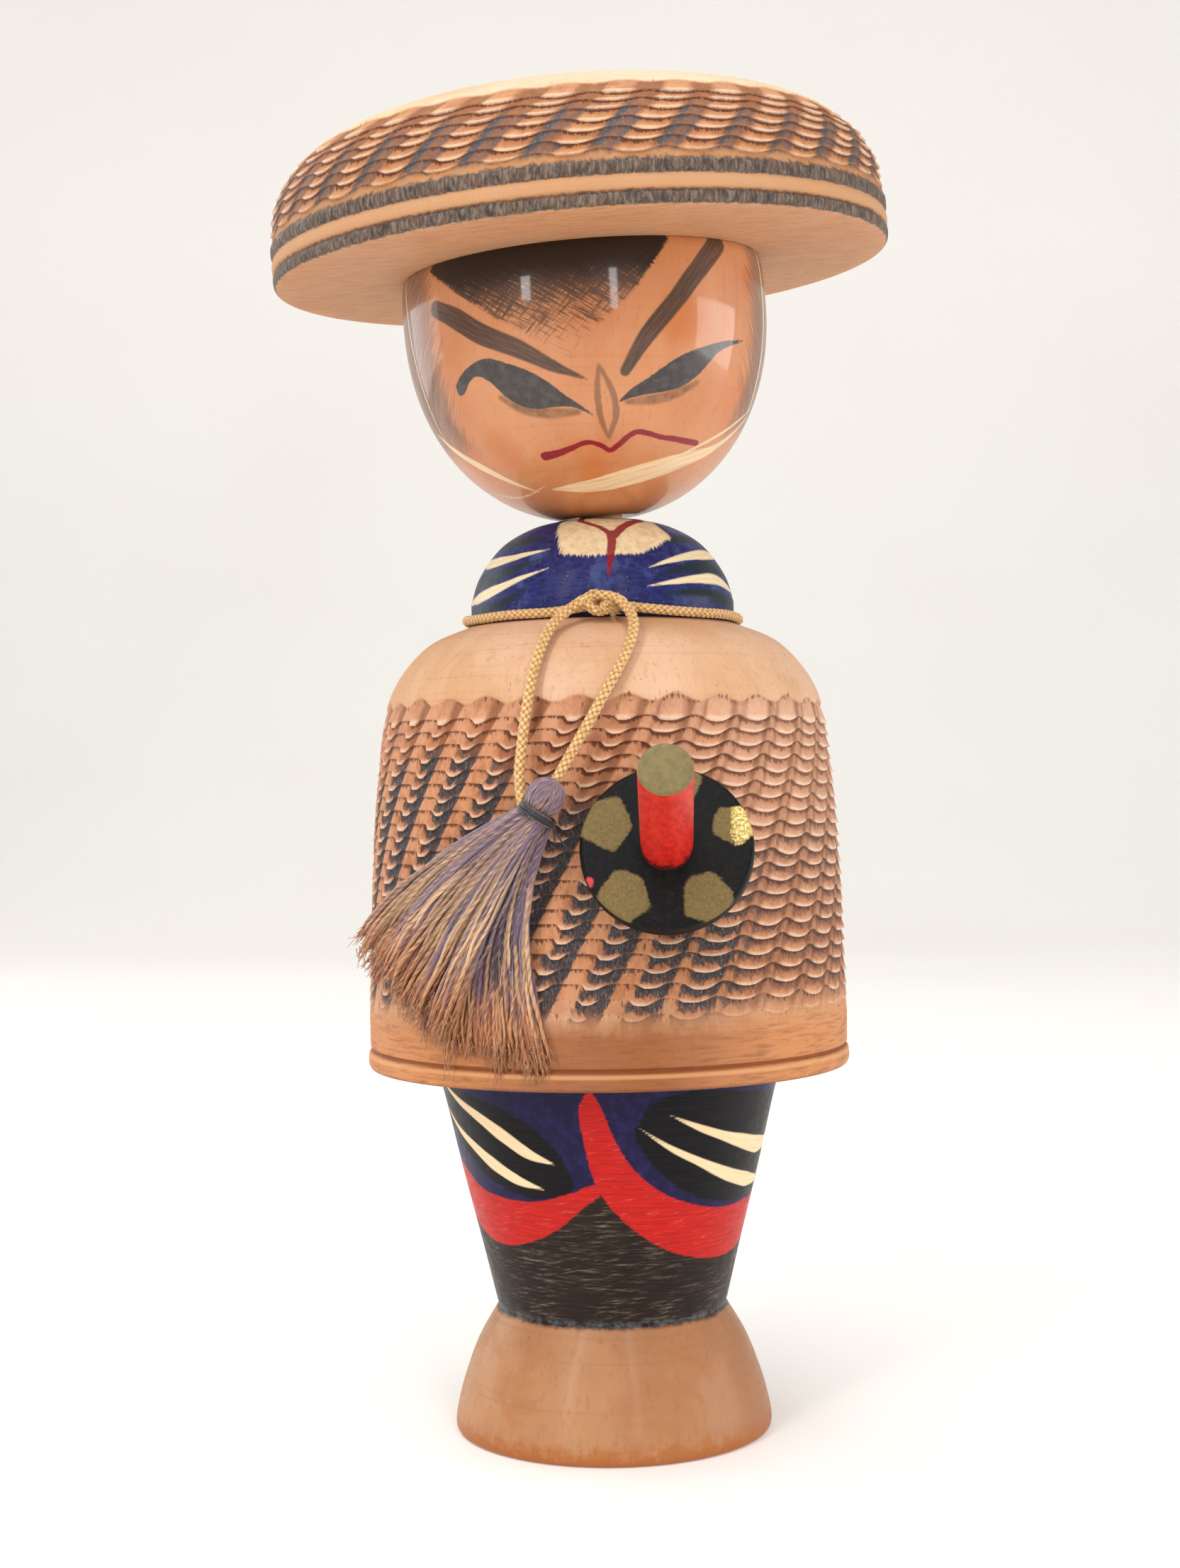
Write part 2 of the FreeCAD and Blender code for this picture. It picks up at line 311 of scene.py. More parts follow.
class Paint:
    """A material laid on in coats. Where a Value goes, a number or a colour code goes too."""

    def __init__(self, name, **fixed):
        self.material = bpy.data.materials.new(name)
        self.material.use_nodes = True
        self.tree = self.material.node_tree
        self.tree.nodes.clear()
        self.shader = self.tree.nodes.new("ShaderNodeBsdfPrincipled")
        out = self.tree.nodes.new("ShaderNodeOutputMaterial")
        self.tree.links.new(self.shader.outputs[0], out.inputs[0])
        for key, value in fixed.items():
            self.set(self.shader.inputs[key.replace("_", " ")], value)
        self.place = self.node("ShaderNodeTexCoord", output=3)  # in the row frame, in metres
        self.tint = None

    def set(self, socket, value):
        if isinstance(value, Value):
            self.tree.links.new(value.socket, socket)
        else:
            socket.default_value = colour(value) if isinstance(value, str) else value

    def node(self, kind, inputs=(), output=0, **settings):
        made = self.tree.nodes.new(kind)
        for key, value in settings.items():
            setattr(made, key, value)
        for key, value in dict(inputs).items():
            self.set(made.inputs[key], value)
        return Value(self, made.outputs[output])

    def math(self, operation, a, b=0.0):
        return self.node("ShaderNodeMath", {0: a, 1: b}, operation=operation)

    def value(self, name):
        """A number that the mesh holds at its points."""
        return self.node("ShaderNodeAttribute", output=2, attribute_name=name)

    def parts(self, vector):
        """The three parts of a vector, or of a vector that the mesh holds under that name."""
        if isinstance(vector, str):
            vector = self.node("ShaderNodeAttribute", output=1, attribute_name=vector)
        first = self.node("ShaderNodeSeparateXYZ", {0: vector})
        return [Value(self, socket) for socket in first.socket.node.outputs]

    def height_mm(self):
        return self.parts(self.place)[2] * 1000.0

    def noise(self, vector, detail, rough, distort=0.0):
        return self.node("ShaderNodeTexNoise", {
            "Vector": vector, "Scale": 1.0, "Detail": detail, "Roughness": rough, "Distortion": distort,
        })

    def grain(self, x, y, z, detail=4.0, rough=0.65, distort=0.0):
        """Noise over the surface, with so many waves a metre along each axis."""
        stretched = self.node("ShaderNodeVectorMath", {0: self.place, 1: (x, y, z)}, operation="MULTIPLY")
        return self.noise(stretched, detail, rough, distort)

    def streaks(self, x, y, z=0.0, detail=4.0, rough=0.65):
        """Noise over three values."""
        return self.noise(self.node("ShaderNodeCombineXYZ", {0: x, 1: y, 2: z}), detail, rough)

    def brushed(self, layer, fine, long, detail=4.0, rough=0.65):
        """The bristle marks along the strokes of a layer, and the distance inside them."""
        across, along, inside = self.parts(layer)
        return self.streaks(across * fine, along * long, 0.0, detail, rough), inside

    def blend(self, a, b, share):
        return self.node("ShaderNodeMix", {0: share, 6: a, 7: b}, output=2, data_type="RGBA")

    def coat(self, tint, cover):
        """Another colour on top of those there are."""
        self.tint = self.blend(self.tint, tint, cover)

    def finish(self, rough, height=None, depth=0.0, strength=1.0):
        """The material, with bumps from a height of 0 to 1 that stands for a depth in metres."""
        self.set(self.shader.inputs["Base Color"], self.tint)
        self.set(self.shader.inputs["Roughness"], rough)
        if height:
            bumps = self.node("ShaderNodeBump", {"Strength": strength, "Distance": depth, "Height": height})
            self.set(self.shader.inputs["Normal"], bumps)
        return self.material


def wood(paint, pale, mid, deep, pores):
    """Turned pale wood: broad mottle, upright fibres, lathe rings and small dark pores. Gives its height."""
    fibres = paint.grain(1500, 1500, 90)
    rings = paint.grain(25, 25, 2300, 3.0, 0.6)
    paint.tint = paint.blend(pale, mid, paint.grain(70, 70, 28, 3.0, 0.55).step(0.32, 0.66))
    paint.coat(deep, fibres.step(0.5, 0.85, 0.0, 0.55))
    paint.coat(deep, rings.step(0.55, 0.8, 0.0, 0.3))
    paint.coat("#6B3A20", paint.grain(2600, 2600, 620, 2.0, 0.5).step(0.66, 0.76, 0.0, pores))
    return fibres * 0.6 + rings * 0.4


# ---------------------------------------------------------------- brush work, as fields on a mesh


def nearest(points, samples):
    """Distance from each point to the nearest sample, and which sample that is."""
    flat = points.reshape(-1, 3).astype(np.float32)
    samples = samples.astype(np.float32)
    best = np.empty(len(flat), np.float32)
    which = np.empty(len(flat), np.int32)
    size = (samples**2).sum(1)
    for start in range(0, len(flat), 20000):
        block = flat[start:start + 20000]
        square = (block**2).sum(1)[:, None] + size[None] - 2 * block @ samples.T
        which[start:start + 20000] = square.argmin(1)
        best[start:start + 20000] = np.sqrt(np.maximum(square.min(1), 0))
    return best.reshape(points.shape[:-1]), which.reshape(points.shape[:-1])


class Surface:
    """The outside of a turned piece, on which a brush works."""

    def __init__(self, where, outline, angles):
        self.where = where
        self.outline = outline[np.argsort(outline[:, 1], kind="stable")]
        self.angle, self.height = np.broadcast_arrays(angles[None], outline[:, 1][:, None])
        self.radius = np.broadcast_to(outline[:, 0][:, None], self.angle.shape)
        self.grid = where.place(self.radius, self.angle, self.height)

    def at(self, spots):
        spots = np.asarray(spots, float)
        radius = np.interp(spots[:, 1], self.outline[:, 1], self.outline[:, 0])
        return self.where.place(radius, spots[:, 0], spots[:, 1])

    def stroke(self, spots, widths):
        """How far across a brush stroke each point is, how far along it, and how far inside its edge."""
        samples = self.at(smooth(spots, 0.25))
        run = spacing(samples)
        half = np.interp(run / run[-1], np.linspace(0, 1, len(widths)), widths) / 2
        away, which = nearest(self.grid, samples)
        from_axis = samples - self.where.origin
        outward = from_axis - np.outer(from_axis @ self.where.up, self.where.up)
        sideways = np.cross(np.gradient(samples, axis=0), outward)
        sideways /= np.linalg.norm(sideways, axis=1)[:, None] + 1e-9
        across = ((self.grid - samples[which]) * sideways[which]).sum(-1)
        return np.stack([across, run[which], half[which] - away], -1)

    def strokes(self, *many):
        """Several strokes in one layer, where the last part is the distance inside."""
        layer = np.zeros(self.grid.shape) + [0, 0, -20]
        for spots, widths in many:
            stroke = self.stroke(spots, widths)
            layer = np.where(stroke[..., 2:] > layer[..., 2:], stroke, layer)
        return layer

    def region(self, spots, rounded=True):
        """Distance inside a closed outline, in millimetres, below zero outside."""
        spots = np.array([*spots, spots[0]], float)
        line = smooth(spots, 0.35) if rounded else straight(spots, 0.35)
        away, _ = nearest(self.grid, self.at(line))
        inside = np.zeros(self.angle.shape, bool)
        for (a0, h0), (a1, h1) in zip(line, line[1:]):
            if h0 == h1:
                continue
            crosses = (self.height >= min(h0, h1)) & (self.height < max(h0, h1))
            inside ^= crosses & (self.angle < a0 + (self.height - h0) * (a1 - a0) / (h1 - h0))
        return np.where(inside, away, -away)


# ---------------------------------------------------------------- carved surfaces


CUT_STEPS = (0.0, 0.3, 0.55, 0.75, 0.9, 1.0)  # rings of points down each cut, as shares of its length
CUT_COLUMNS = 13  # columns of points across each cut
LEAD_IN = 3.2  # how far from the first and the last lips the rings bend to follow them
LEAD_OUT = 2.8


def plain_row(arc, turn):
    """A ring of the uncut surface: arc, turn, sunk, raised, lens, band, tear and valley."""
    nothing = np.zeros(len(arc))
    return arc, turn, nothing, nothing + 1, nothing, nothing, nothing, nothing


def lay_rows(where, outline, rows, drift):
    """Rings laid on an outline, the lowest first. Gives what carve gives."""
    run = spacing(outline)
    total = len(rows[0][0])
    arc, turn, sunk, *fields = (
        np.array([np.broadcast_to(row[part], total) for row in reversed(rows)]) for part in range(8)
    )
    radius, height, ahead_r, ahead_h, behind_r, behind_h = (
        np.interp(arc + shift, run, outline[:, axis]) for shift in (0.0, 0.05, -0.05) for axis in (0, 1)
    )
    size = np.hypot(ahead_r - behind_r, ahead_h - behind_h) + 1e-9
    radius = radius + sunk * (ahead_h - behind_h) / size
    height = height - sunk * (ahead_r - behind_r) / size
    angle = (ring_angles(total) - drift * turn + 180) % 360 - 180
    values = dict(zip(("raised", "lens", "band", "tear", "valley"), fields))
    return where.place(radius, angle, height), angle, height, arc, values


def carve(where, outline, start, pitches, cuts, drift, lip, depth, ridge, seed, openness, last_fade=()):
    """A turned surface with rows of overlapping gouge cuts, like shingles.

    Each cut is a hollow that rises to a curved lip, where the surface drops to the next row. An uncut strip
    stands between the cuts of a row, and every row is turned a little from the one above. openness is a
    function of the angle: 0 for narrow lips beside a broad strip, 1 for broad lips that nearly meet. ridge is
    the height of the uncut strips.
    Gives the grid, its angles, heights and arcs, and its values, where valley is the gap between the lips.
    """
    draw = np.random.default_rng(seed)
    run = spacing(outline)
    total = cuts * CUT_COLUMNS
    x = (np.arange(total) % CUT_COLUMNS + 0.5) / CUT_COLUMNS - 0.5
    cut = np.arange(total) // CUT_COLUMNS
    middle = np.cos(math.pi * x) ** 2
    bases = start + np.concatenate([[0], np.cumsum(pitches)])

    def varied(mean, spread):
        return draw.normal(mean, spread, cuts)[cut]

    above = bases[0] - (1.1 + varied(0, 0.16)) * lip * middle
    rows = []
    for arc in np.append(run[run < start - LEAD_IN], start - 3.1 + 0.45 * np.arange(7)):
        share = float(ease(arc, start - LEAD_IN, start - 0.4))
        rows.append(plain_row(arc + share * (above - bases[0]), 0.0))
    for k in range(len(pitches)):
        wide = openness((ring_angles(total) - drift * (k + 0.5) + 180) % 360 - 180)
        vary = varied(1, 0.13)
        lean = varied(0, 0.03)
        bump = ease(x, -0.19 - 0.25 * wide + lean, -0.10 - 0.17 * wide + lean)
        bump *= 1 - ease(x, 0.0 + 0.15 * wide + lean, 0.28 + 0.19 * wide)
        strip = 1 - ease(x, -0.21 - 0.27 * wide + lean, -0.12 - 0.27 * wide + lean)
        strip = (strip + ease(x, 0.36 + 0.04 * wide, 0.49)) * (1 - 0.6 * wide)
        rest = 0.32 + 0.34 * wide
        top = np.clip(rest + (1 - rest) * bump * vary, 0.3, 1.05)
        wander = varied(0, 0.1) * middle
        bowl = 1 - np.abs(2 * x) ** 1.6
        below = bases[k + 1] + lip * (wide * bowl + (1 - wide) * (0.8 * bump + 0.1 * middle)) + wander
        floor = 0.06 + 0.10 * bump + (0.3 if k == 0 else 0.0)
        fade = last_fade[k - len(pitches)] if len(pitches) - k <= len(last_fade) else 1.0
        torn = fade * (1 - 0.25 * strip) * (0.45 if k == 0 else 1.0)
        valley = (1 - bump) * (1 - np.minimum(strip, 1) * min(1.6 * ridge, 1))
        steep = 0.3 + 0.45 * wide
        for s in CUT_STEPS:
            hollow = floor + (top - floor) * (steep * s + (1 - steep) * s**3)
            raised = hollow + strip * np.maximum(ridge + 0.1 * s - hollow, 0)
            arc = (1 - s) * (above + 0.07) + s * below
            lens = bump * float(ease(s, 0.78, 1.0)) * fade
            tear = float(1 - ease(s, 0.05, 0.5)) * torn
            rows.append((arc, k + s, depth * fade * (1 - raised), raised, lens, fade, tear, valley))
        above = below
    end = bases[-1] + lip
    for arc in np.append(end + 0.35 * np.arange(1, 8), run[run > end + LEAD_OUT]):
        share = 1 - float(ease(arc, end, end + LEAD_OUT))
        rows.append(plain_row(arc + share * (above - end), len(pitches)))
    return lay_rows(where, outline, rows, drift)


def carved_wood(name, stain_code, low_tint, high_tint, plain_tints, gleam, bands):
    """Bare carved wood: fibres torn in the cuts, burnished lips with a painted highlight, painted shade down
    in the cuts and in the valleys between the lips, painted light where pale is high, and dark stain rubbed
    into the hollows.
    """
    paint = Paint(name, Specular_IOR_Level=0.25)
    grain = wood(paint, *plain_tints, 0.5)
    raised, lens, stain, pale = (paint.value(key) for key in ("raised", "lens", "stain", "pale"))
    carved = paint.value("band").step(0.1, 0.9)
    fibres = paint.grain(2300, 2300, 520, 3.0, 0.6)
    coarse = paint.grain(900, 900, 520, 3.0, 0.6)
    blotch = paint.grain(420, 420, 260, 4.0, 0.7)
    worn = paint.grain(5200, 5200, 1600, 2.0, 0.6)
    depth = raised + fibres * 0.7 - 0.35
    # painted shade: the cut wood is darker down in each hollow and lighter where it rises to the lip
    cut = paint.blend(low_tint, high_tint, depth.step(0.1, 0.9))
    cut = paint.blend(cut, low_tint, coarse.step(0.5, 0.75, 0.0, 0.6))
    cut = paint.blend(cut, "#96522A", blotch.step(0.48, 0.64, 0.0, 0.6))
    # painted light: where pale is high the cut wood turns paler, most on the raised parts
    cut = paint.blend(cut, "#D5AC92", pale * depth.step(0.0, 0.8, 0.35, 0.75))
    paint.coat(cut, carved * 0.92)
    # painted shade: darker brown in the valleys between the lips
    paint.coat("#6E4026", (coarse * 0.7 + paint.value("valley")).step(0.55, 1.3, 0.0, 0.6) * carved)
    torn = (fibres * 1.5 + paint.value("tear") * 0.66 + blotch * 0.5).step(1.28, 1.46)
    # the torn fibres show less where the painted light of pale is
    paint.coat("#55270F", torn * pale.step(0.0, 1.0, 0.85, 0.65))
    # the lips are burnished paler wood, and this colour also holds a painted highlight along each lip
    paint.coat("#F3DAC2", lens * worn.step(0.25, 0.7, 0.4 * gleam, 0.95 * gleam))
    hollow = raised + (coarse - 0.5) * 0.9 + (fibres - 0.5) * 0.6
    dark = hollow.step(0.34, 0.56, 1.0, 0.0) * stain.step(0.1, 0.7) * worn.step(0.34, 0.72, 1.0, 0.7)
    scratches = paint.grain(4200, 4200, 1300, 3.0, 0.7, 1.2)
    paint.coat(paint.blend(stain_code, "#7E868A", scratches.step(0.52, 0.7, 0.0, 0.75)), dark)
    bands(paint, coarse, worn)
    rough = (lens - dark * 0.4).step(-0.4, 1.0, 0.72, 0.4)
    return paint.finish(rough, grain * 0.7 + fibres * 0.6 + blotch * 0.9, 0.00013, 0.6)


# ---------------------------------------------------------------- camera, light and floor


CAMERA_PLACE = (-0.0021, -0.317, 0.0892)
CAMERA_ROLL = 0.0145
SENSOR_MM = 24.0
LENS_MM = 34.72
LIGHTS = (
    # place, size, power, and the height on the doll that it is aimed at
    ((-0.50, -0.70, 0.56), (0.10, 0.8), 3.9, 0.10),
    ((0.27, -0.86, 0.52), (0.08, 0.8), 2.9, 0.10),
    ((-0.1, -0.25, 1.1), (0.9, 0.9), 8.6, 0.10),
    ((-0.75, 0.45, 0.35), (0.6, 0.6), 2.6, 0.12),
    ((0.85, -0.02, 0.14), (0.5, 0.3), 2.8, 0.05),
)


def build_camera(scene):
    """A level camera in front of the doll, turned a little about the line that it looks along."""
    camera = bpy.data.objects.new("camera", bpy.data.cameras.new("camera"))
    scene.collection.objects.link(camera)
    camera.data.sensor_width = SENSOR_MM
    camera.data.lens = LENS_MM
    camera.data.clip_start = 0.01
    x, y, z = CAMERA_PLACE
    cosine, sine = math.cos(CAMERA_ROLL), math.sin(CAMERA_ROLL)
    camera.matrix_world = Matrix((
        (cosine, sine, 0, x),
        (0, 0, -1, y),
        (-sine, cosine, 0, z),
        (0, 0, 0, 1),
    ))
    scene.camera = camera


def build_lights(scene):
    """Soft lamps round the doll, in front of a dim white world."""
    scene.view_settings.view_transform = "Standard"
    scene.world = bpy.data.worlds.new("studio")
    scene.world.use_nodes = True
    background = scene.world.node_tree.nodes["Background"]
    background.inputs[0].default_value = (1.0, 0.99, 0.98, 1)
    background.inputs[1].default_value = 0.36
    for index, (place, size, power, aim) in enumerate(LIGHTS):
        data = bpy.data.lights.new(f"soft_{index}", "AREA")
        data.shape = "RECTANGLE"
        data.size, data.size_y = size
        data.energy = power
        lamp = bpy.data.objects.new(f"soft_{index}", data)
        lamp.location = place
        toward = Vector((0, 0, aim)) - Vector(place)
        lamp.rotation_euler = toward.to_track_quat("-Z", "Y").to_euler()
        scene.collection.objects.link(lamp)


def build_floor(scene):
    """A pale sheet that lies flat and bends up into a wall behind the doll."""
    side, near, far, rise, bend = 2.2, -1.2, 0.9, 1.6, 0.5
    turn = np.radians(np.arange(0, 91, 6))
    section = [(near, 0.0), *zip(far + bend * np.sin(turn), bend - bend * np.cos(turn)), (far + bend, rise)]
    points = [(x, y, z) for y, z in section for x in (-side, side)]
    faces = [(2 * i, 2 * i + 1, 2 * i + 3, 2 * i + 2) for i in range(len(section) - 1)]
    mesh = bpy.data.meshes.new("floor")
    mesh.from_pydata(points, [], faces)
    mesh.polygons.foreach_set("use_smooth", [True] * len(faces))
    floor = bpy.data.objects.new("floor", mesh)
    scene.collection.objects.link(floor)
    paint = Paint("pale_floor", Emission_Color="#FFFDFA", Emission_Strength=0.22)
    paint.tint = paint.blend("#E9E6E1", "#E3DFD9", paint.grain(6, 6, 6, 2.0, 0.55))
    floor.data.materials.append(paint.finish(0.65))


# ---------------------------------------------------------------- cape


CAPE_CUTS = 30
CAPE_PITCHES = np.linspace(1.66, 1.94, 23)
CAPE_R = 33.35
GROOVE_Z = HEM_Z + 2.6
ROUND = 6.28  # how far a random phase may go


def cape_outline():
    top = straight([(9.0, CAPE_TOP_Z), (18.4, CAPE_TOP_Z)], 2.0)
    side = smooth([
        (18.4, CAPE_TOP_Z), (24.4, 108.5), (28.7, 103.6), (30.6, 98.6), (31.9, 88.8), (32.6, 79.0),
        (33.15, 62.0), (33.1, GROOVE_Z + 0.5),
    ], 0.5)
    bead = smooth([
        (33.1, GROOVE_Z + 0.5), (32.8, GROOVE_Z + 0.12), (33.25, GROOVE_Z - 0.35), (CAPE_R, GROOVE_Z - 0.9),
        (CAPE_R, HEM_Z + 0.8), (CAPE_R - 0.3, HEM_Z + 0.15), (CAPE_R - 0.9, HEM_Z),
    ], 0.16)
    under = straight([(CAPE_R - 0.9, HEM_Z), (11.0, HEM_Z)], 3.0)
    return joined(top, side, bead, under)


def cape_openness(angle):
    """Narrow cuts beside broad strips on the doll's right, broad cuts on its left."""
    return 0.8 * ease(np.cos(np.radians(angle - 85)), -0.1, 0.7)


def hem(paint, coarse, worn):
    """The rim under the carving: painted light away from the front, painted shade along its groove, a painted
    highlight on its bead, and darker along its lower edge.
    """
    z = paint.height_mm()
    # painted light and shade: the rim is darker at the front and paler towards the sides
    rim = paint.blend("#8E4E25", "#C5804D", paint.value("lit_away_from_front"))
    rim = paint.blend(rim, "#6B3414", paint.grain(240, 240, 2200).step(0.42, 0.72, 0.0, 0.6))
    paint.coat(rim, (coarse * 2.5 + z).step(58.0, 63.0, 0.88, 0.0))
    # painted shade along the groove, and below it a painted highlight along the bead
    paint.coat("#7C3F18", z.line(HEM_Z + 2.75, 0.12, 0.42, 0.8))
    paint.coat("#D79E6C", z.line(HEM_Z + 2.0, 0.1, 0.4, 0.6))
    paint.coat("#4A2410", (worn * 0.9 + z).step(HEM_Z + 0.35, HEM_Z + 1.0, 0.7, 0.0))


def make_cape():
    outline = cape_outline()
    first_cut = np.argmin(np.abs(outline[:, 1] - 99.6) + 100 * (outline[:, 0] < 20))
    grid, angle, height, _, values = carve(
        BODY, outline, spacing(outline)[first_cut], CAPE_PITCHES, CAPE_CUTS, drift=1.65, lip=0.9,
        depth=0.62, ridge=0.64, seed=11, openness=cape_openness, last_fade=(0.85, 0.6, 0.3),
    )
    draw = np.random.default_rng(5)
    patch = sum(
        np.cos(np.radians(angle * k) + draw.uniform(0, ROUND)) * np.cos(height / w + draw.uniform(0, ROUND))
        for k, w in ((2, 9.0), (3, 5.0), (5, 7.0), (7, 4.0))
    )
    reach = 92.5 - 7.0 * ease(angle, -20, 25) + 5.0 * ease(np.abs(angle), 90, 150) * (angle > 0)
    stain = ease(reach - height + 1.6 * patch, -3.0, 7.0) * ease(height, 56.5, 63.0)
    stain *= 0.78 + 0.22 * ease(patch, -1.5, 0.6)
    values["stain"] = stain * (1 - 0.75 * cape_openness(angle) * ease(angle, 10, 40))
    # painted light: paler cut wood high on the +X side and near the top of the cape
    values["pale"] = cape_openness(angle) ** 2 * ease(height, 66, 90) + 0.2 * ease(height, 92, 99)
    # painted light: 0 at the front, where the rim is painted in shade, to 1 at the sides, where it is painted
    # lit
    values["lit_away_from_front"] = ease(np.abs(angle), 5, 50)
    plain = ("#D5AE90", "#C69870", "#AC7448")
    material = carved_wood("carved_cape", "#292C32", "#9C5C34", "#C38862", plain, 0.85, hem)
    turned_piece("cape_carved", grid, "body", "cape", material, values)


# ---------------------------------------------------------------- hat


HAT_CUTS = 33
HAT_PITCHES = (1.75, 1.7, 1.6, 1.5, 1.45, 1.4, 1.35, 1.35)
HAT_BANDS = (1.85, 3.85, 5.75)  # tops of the dark, the plain and the second dark band, from the underside
HAT_WALL = (
    # distance outside the hat's radius, and height
    (0.0, 6.6), (0.0, 4.25), (-0.3, 3.85), (-0.02, 3.45), (0.05, 2.85), (-0.02, 2.25), (-0.3, 1.9),
    (0.0, 1.55), (0.0, 0.7), (-0.2, 0.25), (-0.7, 0.0),
)


def hat_outline():
    crown = smooth([
        (0.5, 23.8), (9.0, 23.5), (19.5, 22.0), (30.9, 19.3), (36.6, 16.8), (40.2, 13.6), (41.9, 10.4),
        (HAT_R, 6.6),
    ], 0.55)
    wall = smooth([(HAT_R + out, height) for out, height in HAT_WALL], 0.18)
    under = straight([(HAT_R - 0.7, 0.0), (9.0, 0.0)], 2.5)
    return joined(crown, wall, under)


def hat_openness(angle):
    return 0.5 + 0.12 * np.sin(np.radians(angle * 2))


def hat_bands(paint, coarse, worn):
    """The plain underside, and the hat's wall with a dark, a plain and a second dark band."""
    first_top, plain_top, second_top = HAT_BANDS
    tall = (coarse - 0.5) * 0.5 + paint.value("tall")
    side = tall.step(0.05, 0.3)
    under = paint.blend("#BE845A", "#96552E", paint.grain(300, 2600, 300).step(0.4, 0.7, 0.0, 0.8))
    paint.coat(under, tall.step(0.05, 0.3, 0.8, 0.0))
    ragged = coarse * -2.2 + tall
    paint.coat("#B98459", side * ragged.step(second_top - 0.6, second_top + 0.6, 0.85, 0.0))
    # painted shade along the groove at the top of the first dark band
    paint.coat("#7A4420", side * tall.line(first_top, 0.1, 0.3, 0.8))
    first = side * tall.step(first_top - 0.1, first_top + 0.15, 1.0, 0.0)
    second = tall.step(plain_top - 0.1, plain_top + 0.15)
    second = second * ragged.step(second_top - 1.3, second_top - 0.7, 1.0, 0.0)
    rubbed = (coarse * 0.6 + worn * 0.5).step(0.4, 0.75, 0.97, 0.75)
    grey = paint.blend("#2B2A2C", "#6A635D", paint.grain(2600, 2600, 500, 3.0, 0.6).step(0.42, 0.68))
    for band in (first, second):
        paint.coat(grey, band * rubbed)


def make_hat():
    outline = hat_outline()
    end = spacing(outline)[np.argmin(np.abs(outline[:, 1] - 5.5) + 100 * (outline[:, 0] < 42))]
    start = end - sum(HAT_PITCHES) - 0.5
    grid, angle, height, arc, values = carve(
        HAT, outline, start, HAT_PITCHES, HAT_CUTS, drift=1.7, lip=0.75,
        depth=0.6, ridge=0.2, seed=23, openness=hat_openness,
    )
    draw = np.random.default_rng(8)
    patch = sum(np.cos(np.radians(angle * k) + draw.uniform(0, ROUND)) for k in (1, 2, 4, 7))
    stain = ease(arc, start + 1.5, start + 7.0) * (0.75 + 0.25 * ease(patch, -2, 1))
    stain *= 0.04 + 0.8 * ease(values["valley"], 0.6, 0.98)
    values["stain"] = np.where(arc > end + 0.3, 0.0, stain)
    values["tall"] = height
    values["tear"] = values["tear"] * (1 - ease(height, 14.0, 18.0))
    # painted light: the top rows of cuts are paler towards the crown
    values["pale"] = ease(height, 15.5, 19.0)
    plain = ("#DCC3A6", "#D2B08A", "#B88A5E")
    material = carved_wood("carved_hat", "#45484D", "#A26438", "#C58D62", plain, 0.75, hat_bands)
    turned_piece("hat_carved", grid, "head", "hat", material, values)


# ---------------------------------------------------------------- head and face


HEAD_R = 25.2
HEAD_FLAT_R = 5.5
HEAD_WIDEST = 28.0
HEAD_CURVE = 2.15
FACE_MM = 0.42  # a degree round the head, in millimetres
FRINGE_TIP = (-5.2, 18.4)
FRINGE_WAYS = ((0.535, 0.845), (0.68, -0.733))  # the two ways that the brush went, round and up

# Outlines of the paint on the head, as places on it
FRINGE = [
    (-54, 33.2), (-41, 29.2), (-28, 25.4), (-17, 22.3), (-9.5, 19.8), FRINGE_TIP, (-1.0, 20.8), (4.5, 23.4),
    (10.0, 25.4), (15.5, 27.6), (21.0, 30.4), (27.0, 33.4), (26.0, 36.0), (-10.0, 36.4), (-50.0, 36.0),
]
RIGHT_EYE = [
    (-48.8, 17.7), (-44.5, 19.0), (-38, 20.1), (-33, 20.3), (-27.5, 19.5), (-22.5, 18.6), (-16, 17.0),
    (-9.5, 14.7), (-0.5, 11.8), (-6.5, 12.9), (-12.5, 13.2), (-19.0, 13.2), (-24.5, 13.8), (-29.5, 15.2),
    (-33.6, 17.2), (-38.0, 18.3), (-42.0, 17.8), (-45.5, 16.6), (-48.6, 16.6),
]
LEFT_EYE = [
    (8.0, 13.0), (12.5, 14.6), (17.5, 15.7), (23, 17.1), (29, 18.5), (35, 19.4), (41, 20.1), (48, 20.7),
    (57, 20.9), (49.5, 20.0), (44, 19.0), (40.5, 17.6), (36.8, 16.2), (31.5, 14.9), (25.5, 14.2), (18, 13.9),
    (12.5, 13.5),
]

# Brush strokes on the head: the places that each goes through, and its widths from end to end
BROWS = (
    ([(-51.5, 28.0), (-44, 26.4), (-33.5, 23.4), (-22, 20.9), (-11.5, 18.2), (-1.5, 16.2)],
     (2.3, 2.9, 2.8, 2.4, 1.6, 0.2)),
    ([(46, 33.4), (36.5, 29.6), (27, 25.3), (18, 21.2), (10.8, 16.9)], (2.9, 2.7, 2.5, 2.3, 1.4)),
)
LIDS = (
    ([(-31.5, 15.2), (-26, 13.7), (-18.5, 12.7), (-11, 12.4), (-5.5, 12.3)], (0.7, 1.4, 1.5, 0.8)),
    ([(11.5, 13.1), (18, 13.2), (25, 13.5), (31, 14.2), (37, 15.3)], (0.7, 1.4, 1.3, 0.6)),
)
NOSE = (
    ([(2.4, 17.8), (1.6, 15.0), (1.8, 12.2), (3.2, 10.2), (4.9, 9.0)], (0.5, 0.85, 0.8, 0.5)),
    ([(2.4, 17.8), (5.3, 15.6), (7.3, 13.3), (7.4, 11.2), (4.9, 9.0)], (0.5, 0.8, 0.9, 0.6)),
)
